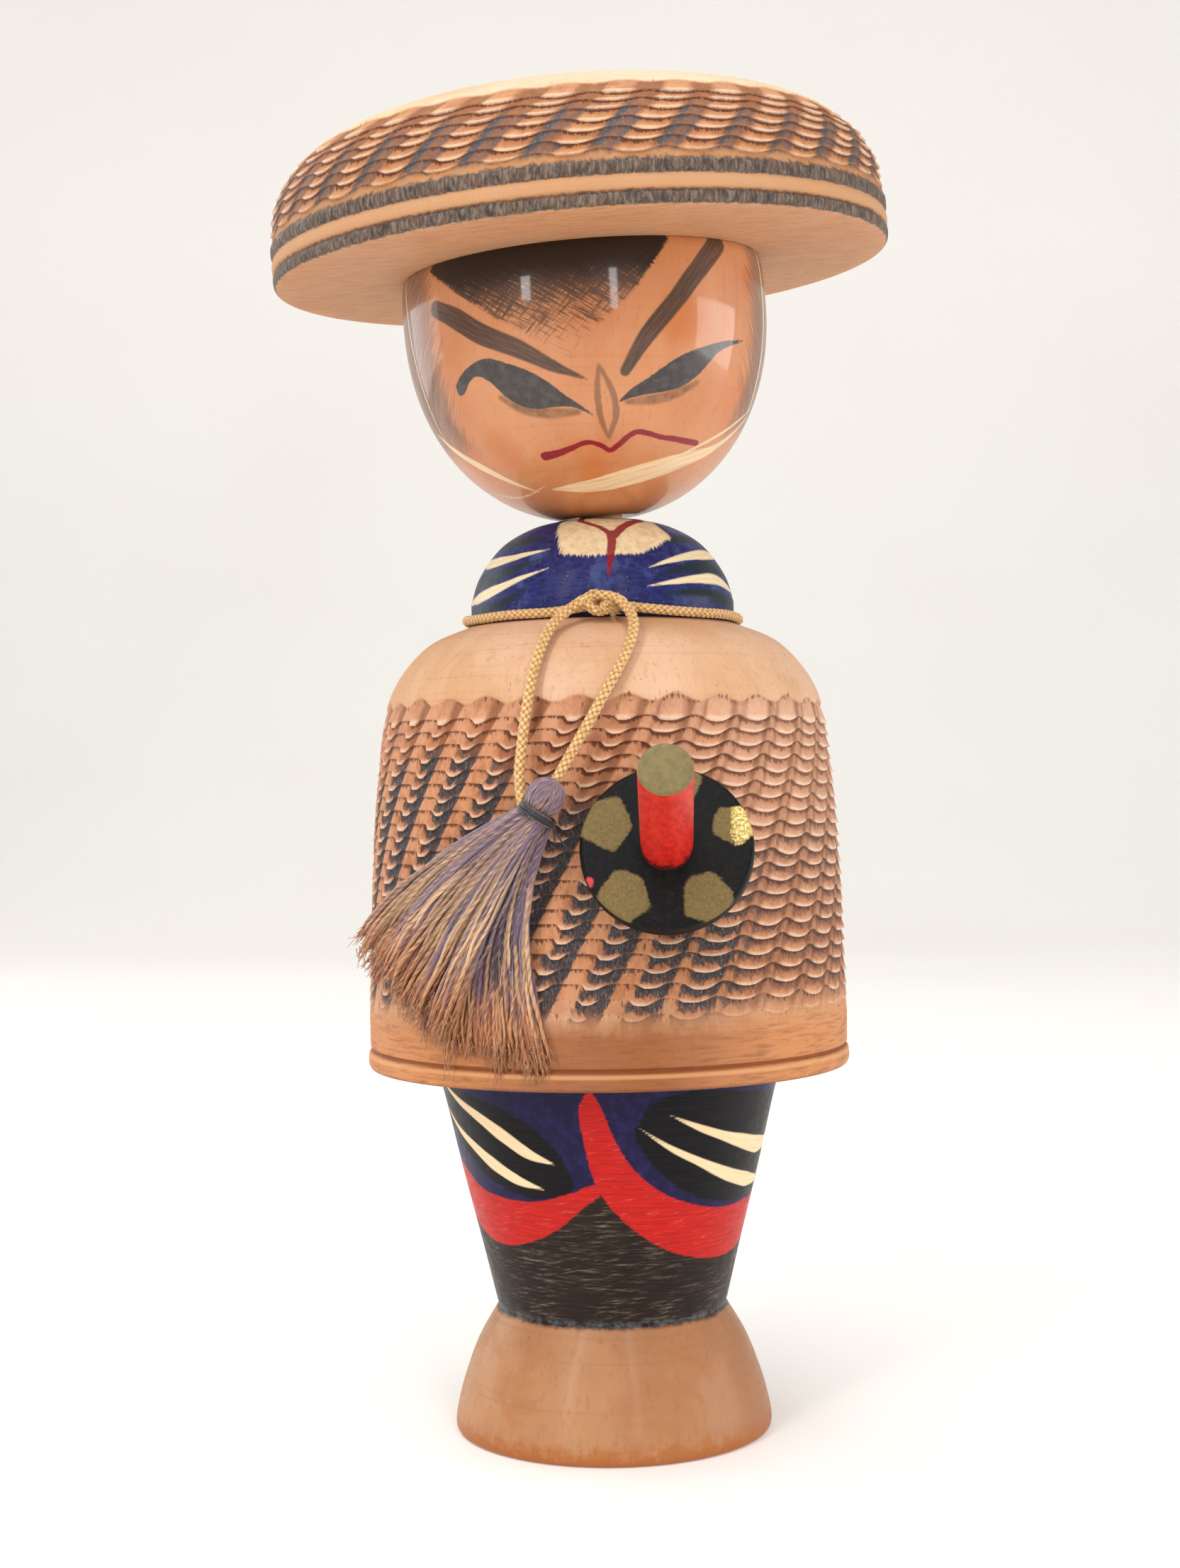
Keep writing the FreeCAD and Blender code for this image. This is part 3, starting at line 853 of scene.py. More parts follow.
MOUTH = (
    ([(-22.0, 7.4), (-16, 7.6), (-10.5, 8.0), (-5, 8.5), (-2.2, 8.5), (1.5, 8.1), (5.5, 7.4), (8.5, 7.9),
      (12.5, 8.9), (15.8, 9.4), (20, 9.2), (26, 8.7), (33, 8.4), (40, 8.1), (45.5, 7.9)],
     (1.35, 1.1, 0.8, 0.7, 0.75, 0.85, 0.85, 0.75, 0.75, 0.85, 0.9, 0.9)),
)
CHIN_STRAP = (
    ([(73.5, 34.0), (74.6, 28), (75.0, 22), (75.5, 17), (77.5, 12.5)], (0.5, 0.7, 0.75, 0.5)),
    ([(79, 11.8), (69, 9.2), (58, 7.2), (46, 6.1), (33, 5.1), (20, 4.3), (6, 3.6), (-8, 3.3), (-27, 3.4)],
     (0.4, 0.6, 1.2, 2.3, 3.3, 3.6, 3.3, 2.3, 0.3)),
    ([(80, 13.0), (70, 11.2), (60, 9.4), (50, 7.9), (40, 6.6)], (0.2, 0.4, 0.5, 0.5, 0.3)),
    ([(-74.5, 34.0), (-72.5, 28), (-71.0, 22), (-71.5, 16), (-73.5, 11)], (0.4, 0.5, 0.45, 0.25)),
    ([(-78, 12.8), (-69, 9.9), (-58, 7.2), (-47, 4.8), (-37, 3.3)], (0.3, 1.1, 1.5, 1.0, 0.2)),
    ([(-80, 4.6), (-60, 3.2), (-44, 3.2), (-30, 3.9)], (0.1, 0.35, 0.35, 0.1)),
)
BLUSHES = (
    # angle, height and size
    (-62, 9, 5), (-40, 8.5, 4), (58, 13, 5), (30, 23, 4), (-62, 26, 3), (-3, 5, 4), (62, 29, 3),
)


def head_radius(height):
    drop = (HEAD_FLAT_R / HEAD_R) ** HEAD_CURVE
    reach = HEAD_WIDEST / (1 - drop) ** (1 / HEAD_CURVE)
    part = (HEAD_WIDEST - height) / reach
    return HEAD_R * (1 - part**HEAD_CURVE) ** (1 / HEAD_CURVE)


def head_outline():
    levels = (0, 0.15, 0.5, 1.2, 2.2, 3.5, 5.4, 7.5, 10, 13, 16.5, 20, 24, HEAD_WIDEST)
    jaw = [(head_radius(level), level) for level in levels]
    side = smooth([*jaw, (25.1, 31.5), (24.9, 33.2), (24.6, HEAD_HEIGHT)], 0.32)
    return joined(straight([(3.2, 0.0), (HEAD_FLAT_R, 0.0)], 1.0), side)


def face_angles():
    """Fine columns round the face and coarser ones at the back."""
    front = np.linspace(-100, 100, 420, endpoint=False)
    back = np.linspace(100, 260, 150, endpoint=False)
    return np.concatenate([front, back])


def make_head():
    skin = Surface(HEAD, head_outline(), face_angles())
    unrolled = np.radians(skin.angle - FRINGE_TIP[0]) * HEAD_R
    above = skin.height - FRINGE_TIP[1]
    one_way, other_way = (across * unrolled + up * above for across, up in FRINGE_WAYS)
    turn = np.abs((skin.angle + 180) % 360 - 180)
    temple = np.where(skin.angle > 0, 63.0, 55.0)
    blush = np.full(turn.shape, 20.0)
    for angle, height, size in BLUSHES:
        blush = np.minimum(blush, np.hypot((skin.angle - angle) * FACE_MM, skin.height - height) / size)
    values = {
        "hair": np.stack([one_way, other_way, skin.region(FRINGE, rounded=False)], -1),
        "brows": skin.strokes(*BROWS),
        "eyes": np.maximum(skin.region(RIGHT_EYE), skin.region(LEFT_EYE)),
        "lids": skin.strokes(*LIDS)[..., 2],
        "nose": skin.strokes(*NOSE)[..., 2],
        "mouth": skin.strokes(*MOUTH)[..., 2],
        "white": skin.strokes(*CHIN_STRAP),
        "sides": np.minimum((turn - temple) * 0.3, (skin.height - 10.0) * 0.7),
        "backhair": np.minimum((turn - 96.0) * FACE_MM, (skin.height - 11.0) * 0.9),
        "blush": blush,
        "angle": turn,
        "tall": skin.height,
    }
    turned_piece("head_painted", skin.grid, "head", "head", head_paint(), values)


def brush_sides(paint, tall):
    """Thin hair on the temples and thick hair at the back, in slanting strokes."""
    turn = paint.value("angle") * FACE_MM
    strands = paint.streaks((tall * -0.55 + turn) * 0.16, (tall * 0.9 + turn) * 1.8, rough=0.7)
    for key, tint, cover, thin in (("sides", "#3A3633", 0.88, 0.55), ("backhair", "#1B1A1B", 0.93, 0.9)):
        brushed = paint.value(key).edge(strands, 11.0, 1.2)
        paint.coat(tint, brushed * strands.step(0.36, 0.6, 1.0, thin) * cover)


def brush_fringe(paint, tall):
    """Hair on the forehead in two crossing ways, dry at its edge and wetter under the hat."""
    one_way, other_way, inside = paint.parts("hair")
    left = paint.streaks(one_way * 3.4, other_way * 0.22, 0.0, 5.0, 0.72)
    right = paint.streaks(other_way * 3.4, one_way * 0.22, 7.0, 5.0, 0.72)
    bristles = paint.math("MAXIMUM", left, right - 0.02)
    wet = (tall - 23.0) * 0.026
    cover = inside.edge(bristles, 2.4, 0.25) * (bristles + wet).step(0.5, 0.64)
    thick = (bristles * 6.0 + tall).step(29.5, 35.0)
    paint.coat(paint.blend("#332B27", "#0E0E10", thick), cover * thick.step(0.0, 1.0, 0.86, 0.98))


def brush_face(paint):
    mid = paint.grain(900, 900, 900, 3.0, 0.6)
    hairs, inside = paint.brushed("brows", 3.2, 0.22)
    tint = paint.blend("#2E2420", "#4E3A2E", hairs.step(0.4, 0.75))
    paint.coat(tint, inside.edge(hairs, 0.5, 0.16) * hairs.step(0.35, 0.8, 0.93, 0.8))
    paint.coat("#5E4028", paint.value("lids").edge(mid, 0.5, 0.3) * mid.step(0.35, 0.65, 0.8, 0.5))
    tint = paint.blend("#25282C", "#3C4042", mid.step(0.4, 0.7))
    paint.coat(tint, paint.value("eyes").edge(mid, 0.25, 0.1) * 0.96)
    paint.coat("#6E4B36", paint.value("nose").edge(mid, 0.3, 0.16) * 0.72)
    paint.coat(paint.blend("#940F27", "#72091C", mid), paint.value("mouth").edge(mid, 0.22, 0.09))
    streak, inside = paint.brushed("white", 3.0, 0.12, 3.0, 0.6)
    tint = paint.blend("#E3C7A0", "#CFA97E", streak.step(0.4, 0.75))
    paint.coat(tint, inside.edge(streak, 0.4, 0.1) * streak.step(0.4, 0.8, 0.98, 0.92))


def head_paint():
    paint = Paint("painted_head", Specular_IOR_Level=0.25, Coat_Weight=0.45, Coat_Roughness=0.07)
    grain = wood(paint, "#C98A5F", "#BE7A4C", "#AA6334", 0.25)
    soft = paint.grain(160, 160, 130, 3.0, 0.55)
    paint.coat("#BE6628", (soft * -1.2 + paint.value("blush")).step(-0.35, 0.55, 0.55, 0.0))
    tall = paint.value("tall")
    brush_sides(paint, tall)
    brush_fringe(paint, tall)
    brush_face(paint)
    rough = paint.grain(3200, 3200, 3200, 3.0, 0.6).step(0.3, 0.7, 0.34, 0.46)
    lumps = paint.grain(420, 420, 260, 2.0, 0.55)
    return paint.finish(rough, grain * 0.35 + lumps * 0.9, 0.00009, 0.45)


# ---------------------------------------------------------------- shoulders


NECK_Z = NECK[2]
COLLAR = [
    (-40, 125.5), (-33, 124.3), (-28, 123.2), (-23.4, 121.6), (-20.6, 119.9), (-8, 119.5), (6, 119.6),
    (19, 119.8), (29, 120.9), (42, 122.4), (43, 123.8), (50, 125.5), (5, 127.0),
]
OVERLAP = (
    ([(-24, 125.7), (-18.7, 125.0), (-8, 124.3), (1, 123.4), (5.2, 122.4)], (1.2, 1.0, 0.8, 0.9)),
    ([(46, 125.7), (35.9, 125.1), (22, 124.5), (12, 123.5), (5.7, 122.2)], (1.5, 1.5, 1.3, 1.2)),
    ([(5.4, 122.8), (4.6, 121.0), (3.8, 119.4), (3.0, 117.9), (2.4, 116.6)], (1.3, 1.2, 1.1, 0.8, 0.3)),
)
ROBE_PETALS = (
    ([(-27, 120.7), (-38, 120.3), (-52, 119.8), (-68, 119.6), (-84, 119.9)], (0.15, 0.7, 1.2, 1.7, 1.7, 1.0)),
    ([(-25, 118.0), (-38, 116.9), (-52, 115.7), (-66, 114.9), (-82, 114.4)], (0.15, 0.6, 1.1, 1.6, 1.5, 0.6)),
    ([(21, 117.8), (33, 118.9), (48, 119.8), (64, 120.3), (84, 120.6)], (0.15, 0.7, 1.2, 1.6, 1.6, 0.8)),
    ([(19, 115.2), (33, 116.0), (48, 116.6), (62, 116.7), (80, 115.6)], (0.15, 0.6, 1.1, 1.5, 1.4, 0.5)),
)
ROBE_SHADE = (
    ([(-30, 119.4), (-48, 118.0), (-66, 117.1), (-92, 116.9)], (0.3, 1.6, 2.4, 2.4, 1.2)),
    ([(-30, 122.4), (-48, 122.2), (-66, 122.2), (-92, 122.4)], (0.3, 1.4, 2.2, 2.6, 1.4)),
    ([(-34, 115.4), (-48, 113.6), (-66, 112.6), (-90, 112.4)], (0.3, 1.3, 1.8, 1.8, 1.0)),
    ([(24, 116.9), (42, 117.9), (60, 118.5), (90, 118.4)], (0.3, 1.4, 2.2, 2.3, 1.2)),
    ([(30, 121.6), (48, 122.2), (66, 122.6), (92, 122.6)], (0.3, 1.3, 2.0, 2.4, 1.4)),
    ([(26, 114.2), (44, 114.6), (60, 114.2), (90, 113.2)], (0.3, 1.2, 1.8, 1.8, 1.0)),
)


def make_shoulders():
    outline = joined(
        straight([(9.0, CAPE_TOP_Z), (DOME_R, CAPE_TOP_Z)], 2.0),
        straight([(DOME_R, CAPE_TOP_Z), (DOME_R, 114.3)], 0.4),
        smooth([(DOME_R, 114.3), (17.2, 117.8), (14.0, 122.2), (10.0, 124.6), (6.5, NECK_Z)], 0.3),
        straight([(6.5, NECK_Z), (3.2, NECK_Z)], 0.6),
    )
    robe = Surface(BODY, outline, ring_angles(420))
    values = {
        "collar": robe.region(COLLAR, rounded=False),
        "overlap": robe.strokes(*OVERLAP)[..., 2],
        "petals": robe.strokes(*ROBE_PETALS),
        "shade": robe.strokes(*ROBE_SHADE),
        "angle": robe.angle,
    }
    material = shoulders_paint()
    turned_piece("shoulders_painted", robe.grid, "body", "shoulders", material, values)


def shoulders_paint():
    """Speckled navy with darker shades, a pale collar with a red overlap, and pale petals, with painted shade
    under the head and where the shoulders meet the cape.
    """
    paint = Paint("painted_shoulders", Specular_IOR_Level=0.12, Coat_Weight=0.08, Coat_Roughness=0.2)
    z = paint.height_mm()
    mid = paint.grain(900, 900, 900)
    specks = paint.grain(4200, 4200, 4200, 2.0, 0.6)
    slant = paint.grain(700, 700, 2600)
    paint.tint = paint.blend("#292D66", "#191B47", slant.step(0.38, 0.68))
    paint.coat("#4A5684", paint.grain(260, 260, 200, 4.0, 0.7).step(0.5, 0.7, 0.0, 0.7))
    paint.coat("#9599B4", (mid * 0.5 + specks).step(0.94, 1.04, 0.0, 0.7))
    rows, inside = paint.brushed("shade", 2.6, 0.16)
    paint.coat(paint.blend("#141A1C", "#26332E", rows), inside.edge(rows, 1.3, 0.35) * 0.85)
    bristles = paint.streaks(paint.value("angle") * 0.95, z * 0.06, rough=0.75)
    tint = paint.blend("#E7CFA6", "#D2B389", mid.step(0.4, 0.7))
    paint.coat(tint, paint.value("collar").edge(bristles, 2.6, 0.2) * 0.95)
    rows, inside = paint.brushed("petals", 3.0, 0.14)
    tint = paint.blend("#EDDAB4", "#D9C49A", rows)
    paint.coat(tint, inside.edge(rows, 0.6, 0.12) * rows.step(0.42, 0.72, 1.0, 0.7))
    tint = paint.blend("#94162A", "#701020", mid)
    paint.coat(tint, paint.value("overlap").edge(mid, 0.3, 0.12) * 0.94)
    # painted shade under the head, round the top of the shoulders
    paint.coat("#2A2620", (mid * 0.8 + z).step(NECK_Z + 0.1, NECK_Z + 0.5, 0.0, 0.8))
    # painted shadow where the shoulders go down into the cape
    paint.coat("#0E0D12", z.step(CAPE_TOP_Z + 0.2, CAPE_TOP_Z + 1.2, 0.85, 0.0))
    return paint.finish(mid.step(0.3, 0.7, 0.42, 0.56), slant * 0.5 + mid * 0.5, 0.00008, 0.5)


# ---------------------------------------------------------------- legs and foot


FOOT_TOP_Z = 16.7
RED_LEFT = [
    (-8.5, 49.0), (-10.6, 46.5), (-9.2, 42), (-7.5, 38.7), (-3.5, 35.1), (4.5, 31.7), (17.7, 28.3),
    (34, 26.1), (53, 25.2), (70, 25.6), (86, 27.2), (104, 30.6), (90, 32.4), (70, 32.4), (46, 32.4),
    (28.4, 33.9), (16.1, 36.1), (6.1, 39.6), (0.6, 43.4), (-3.2, 47.2), (-6.0, 49.2),
]
RED_RIGHT = [
    (-102, 41.5), (-86, 38.8), (-70, 36.6), (-61, 35.0), (-46, 34.1), (-29, 34.2), (-16, 35.5),
    (-5, 36.8), (-3, 36.0), (-11.9, 33.3), (-21.4, 30.6), (-37, 28.2), (-52.6, 27.3), (-69, 28.3),
    (-86, 31.2), (-98, 36.0),
]
INK_RIGHT = [
    (-80, 46), (-66, 48.5), (-50, 47.6), (-35.7, 46.0), (-24, 43.2), (-17, 39.8), (-14, 36.4), (-24, 34.6),
    (-38, 35.0), (-52, 36.6), (-66, 39.6), (-80, 43.0),
]
INK_LEFT = [
    (12.5, 47.6), (24, 48.8), (45, 48.4), (66, 47.2), (88, 44.4), (96, 38), (84, 33.8), (62, 32.9),
    (43, 33.4), (30, 35.0), (20, 37.4), (12, 40.6), (8, 43.4),
]
LEG_PETALS = (
    ([(-73, 48.4), (-62, 46.6), (-50, 44.7), (-40, 42.7), (-30, 40.6), (-20.5, 39.4)],
     (0.4, 1.0, 1.5, 1.9, 1.7, 0.2)),
    ([(-79, 44.8), (-68, 42.4), (-58, 40.6), (-47, 38.5), (-36, 36.8), (-26, 35.9)],
     (0.4, 0.9, 1.4, 1.8, 1.5, 0.2)),
    ([(19, 46.0), (28, 44.4), (39, 42.8), (53, 41.2), (68, 39.9), (82, 39.6)],
     (0.1, 0.8, 1.3, 2.0, 2.5, 1.6)),
    ([(9, 44.4), (20, 41.6), (33, 39.2), (48, 36.9), (64, 35.3), (79, 34.6)],
     (0.1, 0.7, 1.2, 1.8, 2.1, 0.9)),
)
NAVY_EDGE = np.array([
    # the lower edge of the navy cloth: angle and height
    (-180, 33), (-110, 39), (-86, 37.5), (-70, 36), (-46, 33.5), (-29, 33.6), (-16, 35), (-8, 36), (0, 37),
    (16, 35), (46, 31.5), (80, 31), (110, 32), (180, 33),
])


def legs_outline():
    return joined(
        straight([(2.0, 0.0), (21.1, 0.0)], 3.0),
        smooth([
            (21.1, 0.0), (21.7, 0.25), (21.95, 1.0), (21.4, 4.4), (20.3, 8.1), (18.6, 12.4), (16.05, 16.8),
        ], 0.35),
        smooth([(16.05, 16.8), (15.88, 17.15), (15.9, 17.5), (16.05, 17.9)], 0.12),
        smooth([(16.05, 17.9), (17.9, 25.6), (20.4, 35.5), (22.7, 45.4), (23.95, HEM_Z - 0.1)], 0.35),
        straight([(23.95, HEM_Z - 0.1), (11.0, HEM_Z - 0.1)], 3.0),
    )


def make_legs():
    leg = Surface(BODY, legs_outline(), ring_angles(430))
    values = {
        "red": np.maximum(leg.region(RED_LEFT), leg.region(RED_RIGHT)),
        "navy": leg.height - np.interp(leg.angle, *NAVY_EDGE.T),
        "ink": np.maximum(leg.region(INK_RIGHT), leg.region(INK_LEFT)),
        "petals": leg.strokes(*LEG_PETALS),
        "angle": leg.angle,
    }
    turned_piece("legs_painted", leg.grid, "body", "legs", legs_paint(), values)


def legs_paint():
    """Bare wood on the foot, black leggings with scratches, navy cloth, red bands, and petals on black."""
    paint = Paint("painted_legs", Specular_IOR_Level=0.1, Coat_Weight=0.08, Coat_Roughness=0.14)
    z, turn = paint.height_mm(), paint.value("angle")
    grain = wood(paint, "#B5855F", "#A67350", "#8A5734", 0.1)
    mid = paint.grain(700, 700, 700)
    fine = paint.grain(3600, 3600, 3600, 2.0, 0.6)
    sweep = paint.streaks(turn * 0.055 + mid * 0.5, z * 3.2 + turn * 0.035, 0.0, 5.0, 0.75)
    sweep_up = paint.streaks(turn * 0.09, z * 2.4 + turn * -0.13, rough=0.7)
    paint.coat("#A65F2C", (mid * 6.0 + z).step(3.6, 6.6, 0.85, 0.0))
    paint.coat("#A66A42", paint.grain(120, 120, 200).step(0.5, 0.7, 0.0, 0.55))
    paint.coat("#3A2A24", paint.grain(260, 260, 90, 4.0, 0.55).step(0.72, 0.78, 0.0, 0.7))

    black = paint.blend("#0B0B0D", "#211D1B", sweep.step(0.4, 0.7))
    scratches = (sweep * 0.62 + sweep_up * 0.5).step(0.56, 0.72)
    patchy = paint.grain(150, 150, 150, 3.0, 0.55).step(0.36, 0.6)
    black = paint.blend(black, "#7A6A5C", scratches * patchy * 0.8)
    rim = z.step(FOOT_TOP_Z - 0.3, FOOT_TOP_Z + 0.5) * z.step(FOOT_TOP_Z + 0.5, FOOT_TOP_Z + 1.6, 1.0, 0.0)
    black = paint.blend(black, "#5C6468", rim * mid.step(0.4, 0.62, 0.0, 0.65))
    paint.coat(black, (z - FOOT_TOP_Z).edge(paint.grain(500, 500, 500, 4.0, 0.7), 1.1, 0.35) * 0.97)

    navy = paint.blend("#1B1538", "#272050", mid.step(0.4, 0.7))
    paint.coat(navy, paint.value("navy").edge(sweep, 1.2, 0.4))
    ink = paint.blend("#08080A", "#1A1614", sweep.step(0.4, 0.7))
    paint.coat(ink, paint.value("ink").edge(sweep_up, 2.0, 0.25) * 0.97)
    red = paint.blend("#C9221D", "#A81A16", sweep.step(0.35, 0.65))
    red = paint.blend(red, "#D8695C", (fine * 0.2 + sweep_up).step(0.66, 0.84, 0.0, 0.6))
    paint.coat(red, paint.value("red").edge(sweep, 0.9, 0.14) * sweep.step(0.5, 0.85, 1.0, 0.86))
    rows, inside = paint.brushed("petals", 2.2, 0.12)
    paint.coat(paint.blend("#EED6AC", "#DDBE90", rows.step(0.4, 0.75)), inside.edge(rows, 0.35, 0.12))
    paint.coat("#D8D2C8", fine.step(0.78, 0.84, 0.0, 0.7))
    return paint.finish(mid.step(0.3, 0.7, 0.36, 0.5), sweep * 0.5 + grain * 0.35, 0.00009, 0.5)


# ---------------------------------------------------------------- cords


STRAND_D = 1.5
NECK_CORD_D = 1.4
NECK_RING_R = 18.95
NECK_RING_Z = 111.95
PLAITS = 8  # strands in a braid
PLAIT_SIDES = 6
PLAIT_STEPS = 16  # rings for every turn of a strand

# Routes of the two strands that carry the tassel, in metres, from the knot down
LEFT_ROUTE = [
    (-0.0027, -0.0212, 0.1132),
    (-0.0049, -0.0221, 0.1118),
    (-0.0072, -0.0247, 0.1092),
    (-0.0088, -0.0282, 0.1049),
    (-0.0099, -0.0308, 0.0996),
    (-0.0106, -0.0325, 0.0941),
    (-0.0111, -0.0338, 0.0896),
    (-0.0105, -0.0347, 0.0866),
]
RIGHT_ROUTE = [
    (0.0021, -0.0213, 0.1132),
    (0.0035, -0.0226, 0.1117),
    (0.0040, -0.0252, 0.1094),
    (0.0029, -0.0284, 0.1060),
    (0.0008, -0.0309, 0.1022),
    (-0.0019, -0.0326, 0.0974),
    (-0.0045, -0.0341, 0.0929),
    (-0.0064, -0.0352, 0.0896),
]

# Centre lines of the knot: round the neck cord, over it and under it, and a loose curl, in millimetres
KNOT_LINES = (
    [(-0.9, -18.6, 113.1), (-0.9, -19.6, 114.0), (-1.6, -20.7, 113.9), (-2.1, -21.3, 113.1),
     (-1.8, -21.5, 112.3), (-1.0, -21.4, 111.8), (-0.1, -21.2, 111.8), (0.5, -20.6, 112.1)],
    [(-1.7, -19.9, 113.2), (-1.1, -20.7, 113.8), (0.1, -21.0, 113.8), (1.2, -21.0, 113.6),
     (2.1, -21.3, 113.2), (2.5, -21.7, 112.8)],
    [(-1.0, -20.1, 113.2), (-1.9, -20.8, 113.5), (-2.7, -21.2, 113.2), (-3.2, -21.4, 112.9)],
)
KNOT_CURL = [
    (1.0, -20.8, 112.6), (0.5, -21.5, 112.7), (-0.1, -21.8, 112.4), (0.0, -21.8, 111.9),
    (0.5, -21.5, 111.8), (0.9, -21.2, 112.0),
]


def along_route(route):
    """Points on the route's smooth curve, in millimetres."""
    data = bpy.data.curves.new("route", "CURVE")
    data.dimensions = "3D"
    data.resolution_u = 24
    spline = data.splines.new("NURBS")
    spline.points.add(len(route) - 1)
    for point, place in zip(spline.points, route):
        point.co = (*place, 1.0)
    spline.order_u = 3
    spline.use_endpoint_u = True
    carrier = bpy.data.objects.new("route", data)
    mesh = bpy.data.meshes.new_from_object(carrier)
    line = np.array([v.co for v in mesh.vertices]) / MM
    bpy.data.objects.remove(carrier)
    bpy.data.curves.remove(data)
    bpy.data.meshes.remove(mesh)
    return line


def braid(line, diameter, seed, closed=False):
    """A round cord plaited from strands over a core. Gives points, faces and values."""
    thick, wide, weave = 0.115 * diameter, 0.205 * diameter, 0.06 * diameter
    middle = 0.5 * diameter - thick - weave
    whole = np.vstack([line, line[:1]]) if closed else line
    length = spacing(whole)[-1]
    turns = length / (4.0 * diameter / 1.5)
    if closed:
        turns = round(turns)
        line = evenly(whole, turns * PLAIT_STEPS + 1)[:-1]
    else:
        line = evenly(whole, max(8, int(turns * PLAIT_STEPS) + 1))
    count = len(line)
    normal, side = carried(line, closed)
    share = np.arange(count) / (count if closed else count - 1)
    section = np.linspace(0, 2 * math.pi, PLAIT_SIDES, endpoint=False)
    sides = np.arange(PLAIT_SIDES)
    last = (count - 1) * PLAIT_SIDES
    caps = [] if closed else [sides[::-1].tolist(), (last + sides).tolist()]
    draw = np.random.default_rng(seed)
    parts = []
    for k in range(PLAITS):
        way = 1 if k % 2 == 0 else -1
        first_turn = (k // 2) * math.pi / 2 + (0 if way > 0 else math.pi / 4)
        turn = first_turn + way * 2 * math.pi * turns * share
        lift = way * np.sin(4 * turn)
        out = np.cos(turn)[:, None] * normal + np.sin(turn)[:, None] * side
        centre = line + (middle + weave * lift)[:, None] * out
        ahead = np.roll(centre, -1, 0) - np.roll(centre, 1, 0) if closed else np.gradient(centre, axis=0)
        across = np.cross(ahead, out)
        across /= np.linalg.norm(across, axis=1)[:, None]
        rings = centre[:, None] + thick * np.cos(section)[:, None] * out[:, None]
        rings = rings + wide * np.sin(section)[:, None] * across[:, None]
        parts.append((rings.reshape(-1, 3), grid_faces(count, PLAIT_SIDES, closed) + caps, {
            # painted light: low where a strand dips under the next and on its inner side, high where it rises
            # and faces out
            "lit_share": (0.5 + 0.5 * lift[:, None] + 0.25 * np.cos(section)).ravel(),
            "tone": np.full(count * PLAIT_SIDES, draw.uniform(0, 1)),
            "run": np.repeat(share * length, PLAIT_SIDES),
        }))
    core = np.vstack([line, line[:1]]) if closed else line
    points, faces, values = tubes([core], [0.33 * diameter], 8)
    still = np.zeros(len(points))
    # the core is kept in painted shade
    return together(*parts, (points, faces, {"lit_share": still - 0.4, "tone": values["tone"], "run": still}))


def cord_paint():
    paint = Paint("gold_cord", Sheen_Weight=0.25, Sheen_Roughness=0.4, Specular_IOR_Level=0.6)
    run, tone, lit_share = (paint.value(key) for key in ("run", "tone", "lit_share"))
    fibres = paint.streaks(run * 1.4, tone * 31.0, paint.height_mm() * 3.0, 3.0, 0.6)
    # painted shade where the strands dip and in the core, and a painted highlight on the raised faces
    paint.tint = paint.blend("#5E3315", "#BD8A4C", lit_share.step(-0.1, 0.62))
    paint.coat("#E0BB7E", lit_share.step(0.6, 1.15))
    paint.coat("#9A6530", fibres.step(0.5, 0.7, 0.0, 0.6))
    return paint.finish(fibres.step(0.3, 0.7, 0.38, 0.6), fibres, 0.00006, 0.5)


def make_strands(material):
    for name, node, route, seed in (
        ("strand_left", "tassel_cord_left", LEFT_ROUTE, 3),
        ("strand_right", "tassel_cord_right", RIGHT_ROUTE, 4),
    ):
        line = along_route(route)
        strand = piece(name, braid(line, STRAND_D, seed), "tassel", node, material)
        yield strand, line


def neck_ring():
    """The cord's line round the foot of the shoulders, lifted a little where it is knotted."""
    angle = np.arange(720) / 2.0 - 180
    lift = 0.8 * np.exp(-((angle / 14.0) ** 2))
    wander = 0.12 * np.sin(np.radians(angle * 3) + 0.7) + 0.08 * np.sin(np.radians(angle * 7))
    return BODY.place(NECK_RING_R, angle, NECK_RING_Z + lift + wander * (1 - lift))


def knot_frays():
    """Loose fibres at the end of the curl."""
    draw = np.random.default_rng(41)
    frays = []
    for _ in range(46):
        root = np.array([0.8, -21.3, 112.0]) + draw.normal(0, 0.22, 3)
        way = np.array([1.0, -0.35, -0.3]) + draw.normal(0, 0.5, 3)
        way *= draw.uniform(0.7, 1.7) / np.linalg.norm(way)
        bend = draw.normal(0, 0.22, 3)
        t = np.linspace(0, 1, 6)[:, None]
        frays.append(root + way * t + bend * t * t)
    points, faces, values = tubes(frays, [np.linspace(0.05, 0.02, 6)] * len(frays), 4)
    # the frays carry a fairly high share of painted light
    return points, faces, {"lit_share": np.full(len(points), 0.8), "tone": values["tone"], "run": values["run"]}


def make_neck_cord(material):
    ring = braid(neck_ring(), NECK_CORD_D, 5, closed=True)
    piece("neck_cord_braided", ring, "body", "neck_cord", material)
    tied = [braid(smooth(line, 0.2), 1.45, 50 + i) for i, line in enumerate(KNOT_LINES)]
    knot = together(*tied, braid(smooth(KNOT_CURL, 0.2), 1.0, 57), knot_frays())
    piece("neck_knot_braided", knot, "body", "neck_knot", material)


# ---------------------------------------------------------------- tassel


TASSEL_HEAD = np.array([-7.7, -36.0, 87.6])
BINDING = np.array([-8.7, -35.8, 85.5])
BINDING_AXIS = np.array([-0.55, 0.08, -0.83]) / np.linalg.norm([-0.55, 0.08, -0.83])
BOUND_R = 2.35


def across_binding():
    """Two directions across the tassel's axis: up and sideways along the cape, and away from it."""
    away = np.array([-0.2, -1.0, 0.0])
    away -= BINDING_AXIS * away.dot(BINDING_AXIS)
    away /= np.linalg.norm(away)
    return np.cross(BINDING_AXIS, away), away


SIDEWAYS, AWAY = across_binding()


